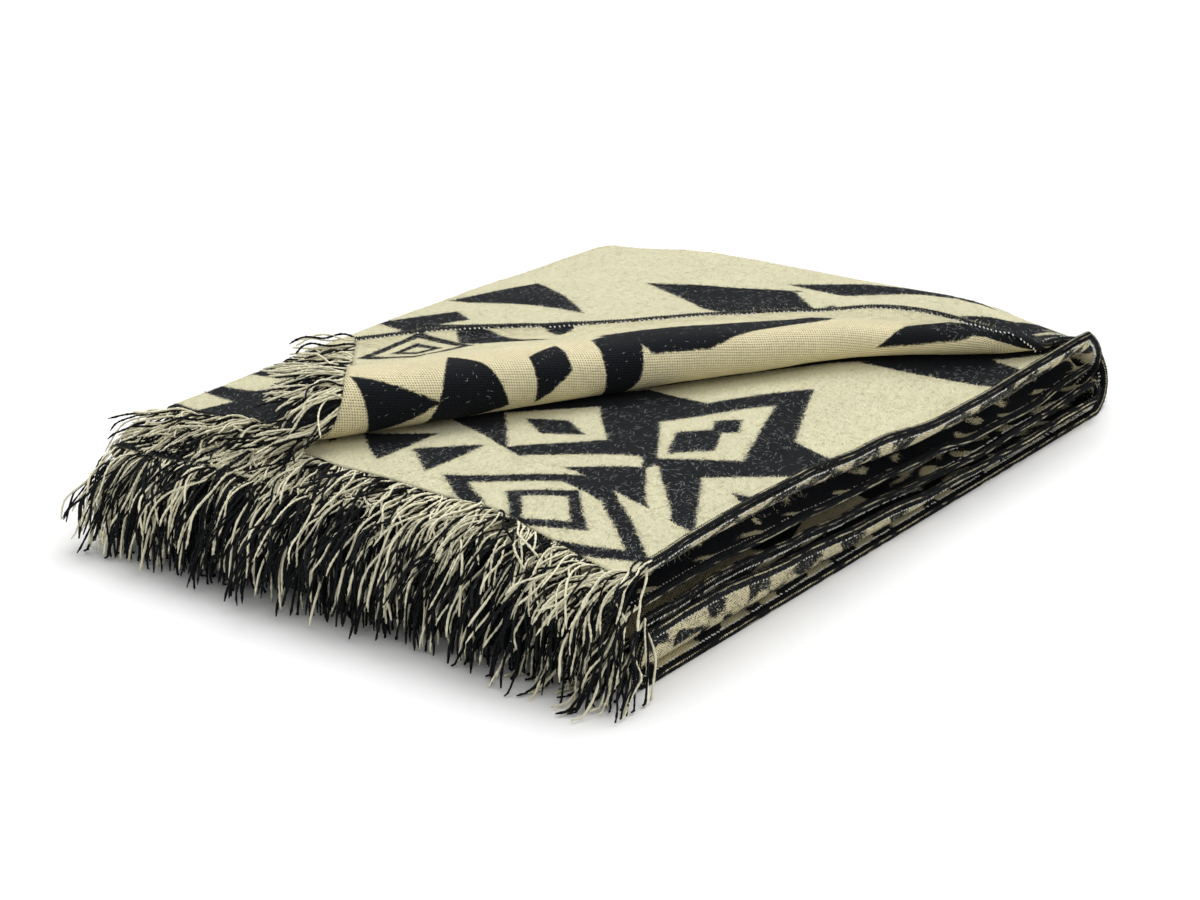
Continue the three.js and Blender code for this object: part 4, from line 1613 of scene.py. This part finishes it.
@dataclass
class Overlock:
    """The overlocked edge of one half of the cloth: a band, its loops of thread and the needle's specks."""

    cloth: Cloth
    half: Half
    width: float = 4.4
    pitch: float = 1.7
    needle_pitch: float = 2.7
    band_pitch: float = 3.0
    band_swell: float = 0.28
    loop_swell: float = 0.42
    thread_radius: float = 0.42
    needle_radius: float = 0.43
    needle_lift: float = 0.48
    needle_share: float = 0.85

    def hem(self, pitch: float) -> tuple[Array, Array, Array]:
        """Places along the hem at an even pitch.

        Args:
            pitch: the distance from one to the next.

        Returns:
            The places, the ways into the cloth, and the ways out of its outer face.
        """
        grid, normals = self.cloth.grid, self.cloth.normals
        column, inside = (0, 1) if self.half is Half.A else (-1, -2)
        line = grid[:, column]
        inward = unit(grid[:, inside] - line)
        lengths = np.concatenate([[0], np.cumsum(np.linalg.norm(np.diff(line, axis=0), axis=1))])
        at = np.arange(0, lengths[-1], pitch)
        places, into, out = (
            np.stack([np.interp(at, lengths, values[:, k]) for k in range(3)], -1)
            for values in (line, inward, normals[:, column])
        )
        return places, unit(into), unit(out)

    def wrap(self, places: Array, inward: Array, up: Array, swell: float, lean: float) -> Array:
        """Points round the edge at each place.

        Args:
            places: places along the hem.
            inward: the ways into the cloth.
            up: the ways out of its outer face.
            swell: how far the thread stands off the cloth.
            lean: how far along the hem it goes on its way round.

        Returns:
            The points, as (place, step, xyz).
        """
        profile = self.profile(swell)
        along = unit(np.cross(up, inward))
        steps = [
            places + depth * inward + height * up + lean * (k / (len(profile) - 1) - 0.5) * along
            for k, (depth, height) in enumerate(profile)
        ]
        return np.stack(steps, axis=1)

    def profile(self, swell: float) -> list[tuple[float, float]]:
        """The way round the edge from face to face.

        Args:
            swell: how far the thread stands off the cloth.

        Returns:
            Depths into the cloth and heights over its middle.
        """
        half = self.cloth.form.thickness / 2
        top = half + swell
        return [
            (self.width, half + 0.05), (self.width * 0.6, top), (0.5, top), (-swell, 0.0),
            (0.5, -top), (self.width * 0.6, -top), (self.width, -half - 0.05),
        ]

    def build(self, thread: bpy.types.Material, white: bpy.types.Material) -> list[bpy.types.Object]:
        """The band, the loops and the specks of this hem.

        Args:
            thread: the loops' material.
            white: the needle thread's material.

        Returns:
            The three pieces.
        """
        rng = np.random.default_rng(11 if self.half is Half.A else 12)
        return [self.band(thread), self.loops(thread, rng), self.needle(white, rng)]

    def band(self, thread: bpy.types.Material) -> bpy.types.Object:
        """The ground that the loops lie on, as a strip bent round the edge.

        Args:
            thread: its material.

        Returns:
            The piece.
        """
        places, inward, up = self.hem(self.band_pitch)
        band = self.wrap(places, inward, up, self.band_swell, 0)
        count, steps = band.shape[:2]
        i, k = np.meshgrid(np.arange(count - 1), np.arange(steps - 1), indexing="ij")
        a = (i * steps + k).ravel()
        faces = np.stack([a, a + 1, a + steps + 1, a + steps], -1)
        piece = mesh_object(f"hem_band_{self.half.value}", self.cloth.form.framed(band.reshape(-1, 3)), faces)
        piece.data.materials.append(thread)
        return piece

    def loops(self, thread: bpy.types.Material, rng: np.random.Generator) -> bpy.types.Object:
        """The loops of thread round the edge.

        Args:
            thread: their material.
            rng: where the random numbers come from.

        Returns:
            The piece.
        """
        places, inward, up = self.hem(self.pitch)
        loops = self.wrap(places, inward, up, self.loop_swell, self.pitch * 0.9)
        loops += rng.normal(scale=0.07, size=(len(places), 1, 3))
        radii = np.full(loops.shape[:2], self.thread_radius) * rng.uniform(0.85, 1.15, (len(places), 1))
        verts, faces = tubes(loops, radii, 3)
        piece = mesh_object(f"hem_loops_{self.half.value}", self.cloth.form.framed(verts), faces)
        piece.data.materials.append(thread)
        return piece

    def needle(self, white: bpy.types.Material, rng: np.random.Generator) -> bpy.types.Object:
        """The short slanting dashes of the needle thread, on both faces.

        Args:
            white: their material.
            rng: where the random numbers come from.

        Returns:
            The piece.
        """
        form = self.cloth.form
        places, inward, up = self.hem(self.needle_pitch)
        along = unit(np.cross(up, inward))
        specks = []
        for side in (1, -1):
            lift = side * (form.thickness / 2 + self.needle_lift)
            middle = places + (self.width + 0.1) * inward + lift * up
            middle = middle + rng.normal(scale=0.12, size=middle.shape)
            slant = 0.30 * along - 0.50 * inward
            ends = [middle + t * slant - abs(t) * 0.3 * side * up for t in (-1.0, 0.0, 1.0)]
            specks.append(np.stack(ends, axis=1))
        specks = np.concatenate(specks)
        specks = specks[rng.uniform(size=len(specks)) < self.needle_share]
        verts, faces = tubes(specks, np.full(specks.shape[:2], self.needle_radius), 4)
        piece = mesh_object(f"hem_needle_{self.half.value}", form.framed(verts), faces)
        piece.data.materials.append(white)
        return piece


# The studio


@dataclass(frozen=True)
class Sun:
    """A broad soft light from one side of the sky: the way to it, its strength, and its width in degrees."""

    name: str
    towards: tuple[float, float, float]
    strength: float
    spread: float

    def build(self) -> None:
        """Adds the light to the scene."""
        data = bpy.data.lights.new(self.name, "SUN")
        data.energy, data.angle = self.strength, math.radians(self.spread)
        lamp = bpy.data.objects.new(self.name, data)
        lamp.rotation_euler = Vector(self.towards).to_track_quat("Z", "Y").to_euler()
        bpy.context.scene.collection.objects.link(lamp)


@dataclass(frozen=True)
class Studio:
    """The floor, the lights and the camera. The eye is in metres from the pad's near corner."""

    eye: tuple[float, float, float] = (-1.0773, -0.7118, 0.5735)
    view: tuple[float, float, float] = (0.778, 0.5338, -0.3314)
    lens: float = 90.0
    sky: float = 0.62
    suns: tuple[Sun, ...] = (
        Sun("key", (0.75, 0.12, 1.2), 2.0, 46),
        Sun("fill", (-0.15, -0.8, 0.9), 0.45, 60),
    )
    floor_reach: float = 60000.0
    white: Colour = (0.93, 0.93, 0.93, 1)

    def floor(self) -> bpy.types.Object:
        """A plain pale floor.

        Returns:
            The floor, marked as the stage.
        """
        verts = self.floor_reach * np.array(((-1, -1, 0), (1, -1, 0), (1, 1, 0), (-1, 1, 0)))
        piece = mesh_object("studio_floor", verts, np.array([[0, 1, 2, 3]]), False)
        g = Graph("studio_white")
        shader = g.node("ShaderNodeBsdfPrincipled")
        shader.inputs["Base Color"].default_value = self.white
        shader.inputs["Roughness"].default_value = 0.9
        shader.inputs["Specular IOR Level"].default_value = 0.1
        output = g.node("ShaderNodeOutputMaterial")
        g.tree.links.new(shader.outputs[0], output.inputs[0])
        piece.data.materials.append(g.material)
        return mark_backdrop(piece) or piece

    def build(self, corner: tuple[float, float]) -> None:
        """Sets up the world, the lights and the camera.

        Args:
            corner: the pad's near corner in the row frame, in millimetres.
        """
        world = bpy.data.worlds.new("studio_world")
        bpy.context.scene.world = world
        world.use_nodes = True
        back = next(n for n in world.node_tree.nodes if n.type == "BACKGROUND")
        back.inputs[0].default_value = (1, 1, 1, 1)
        back.inputs[1].default_value = self.sky
        for sun in self.suns:
            sun.build()
        bpy.context.scene.view_settings.view_transform = "Standard"
        data = bpy.data.cameras.new("camera")
        data.lens, data.sensor_width = self.lens, 36
        camera = bpy.data.objects.new("camera", data)
        camera.location = (self.eye[0] + corner[0] * MM, self.eye[1] + corner[1] * MM, self.eye[2])
        camera.rotation_euler = Vector(self.view).to_track_quat("-Z", "Y").to_euler()
        bpy.context.scene.collection.objects.link(camera)
        bpy.context.scene.camera = camera


def main() -> None:
    """Builds every piece and reports it."""
    logging.basicConfig(level=logging.INFO)
    form = FoldedForm()
    studio = Studio()
    studio.floor()
    studio.build(form.corner)
    cloth = Cloth(form)
    sheet = cloth.build()
    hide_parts("blanket_cloth")
    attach(sheet, "root")
    LOG.info("sheet: %d faces", len(sheet.data.polygons))
    yarn = YarnFinish().build()
    for tier in TIERS:
        piece = Fringe(cloth, tier, yarn).build()
        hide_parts(tier.node)
        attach(piece, "root")
        LOG.info("%s: %d faces", piece.name, len(piece.data.polygons))
    thread = ThreadFinish("overlock_thread", (0.0065, 0.0075, 0.0095, 1)).build()
    white = ThreadFinish("needle_thread", (0.86, 0.86, 0.80, 1)).build()
    for half in Half:
        for piece in Overlock(cloth, half).build(thread, white):
            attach(piece, "root")
            LOG.info("%s: %d faces", piece.name, len(piece.data.polygons))
    fibres = FibreFinish().build()
    for name, face, count in (("nap_outer", 1, 34000), ("nap_inner", -1, 42000)):
        piece = Nap(cloth, name, face, count, 70 + face).build(fibres)
        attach(piece, "root")
        LOG.info("%s: %d faces", piece.name, len(piece.data.polygons))


if __name__ == "__main__":
    main()
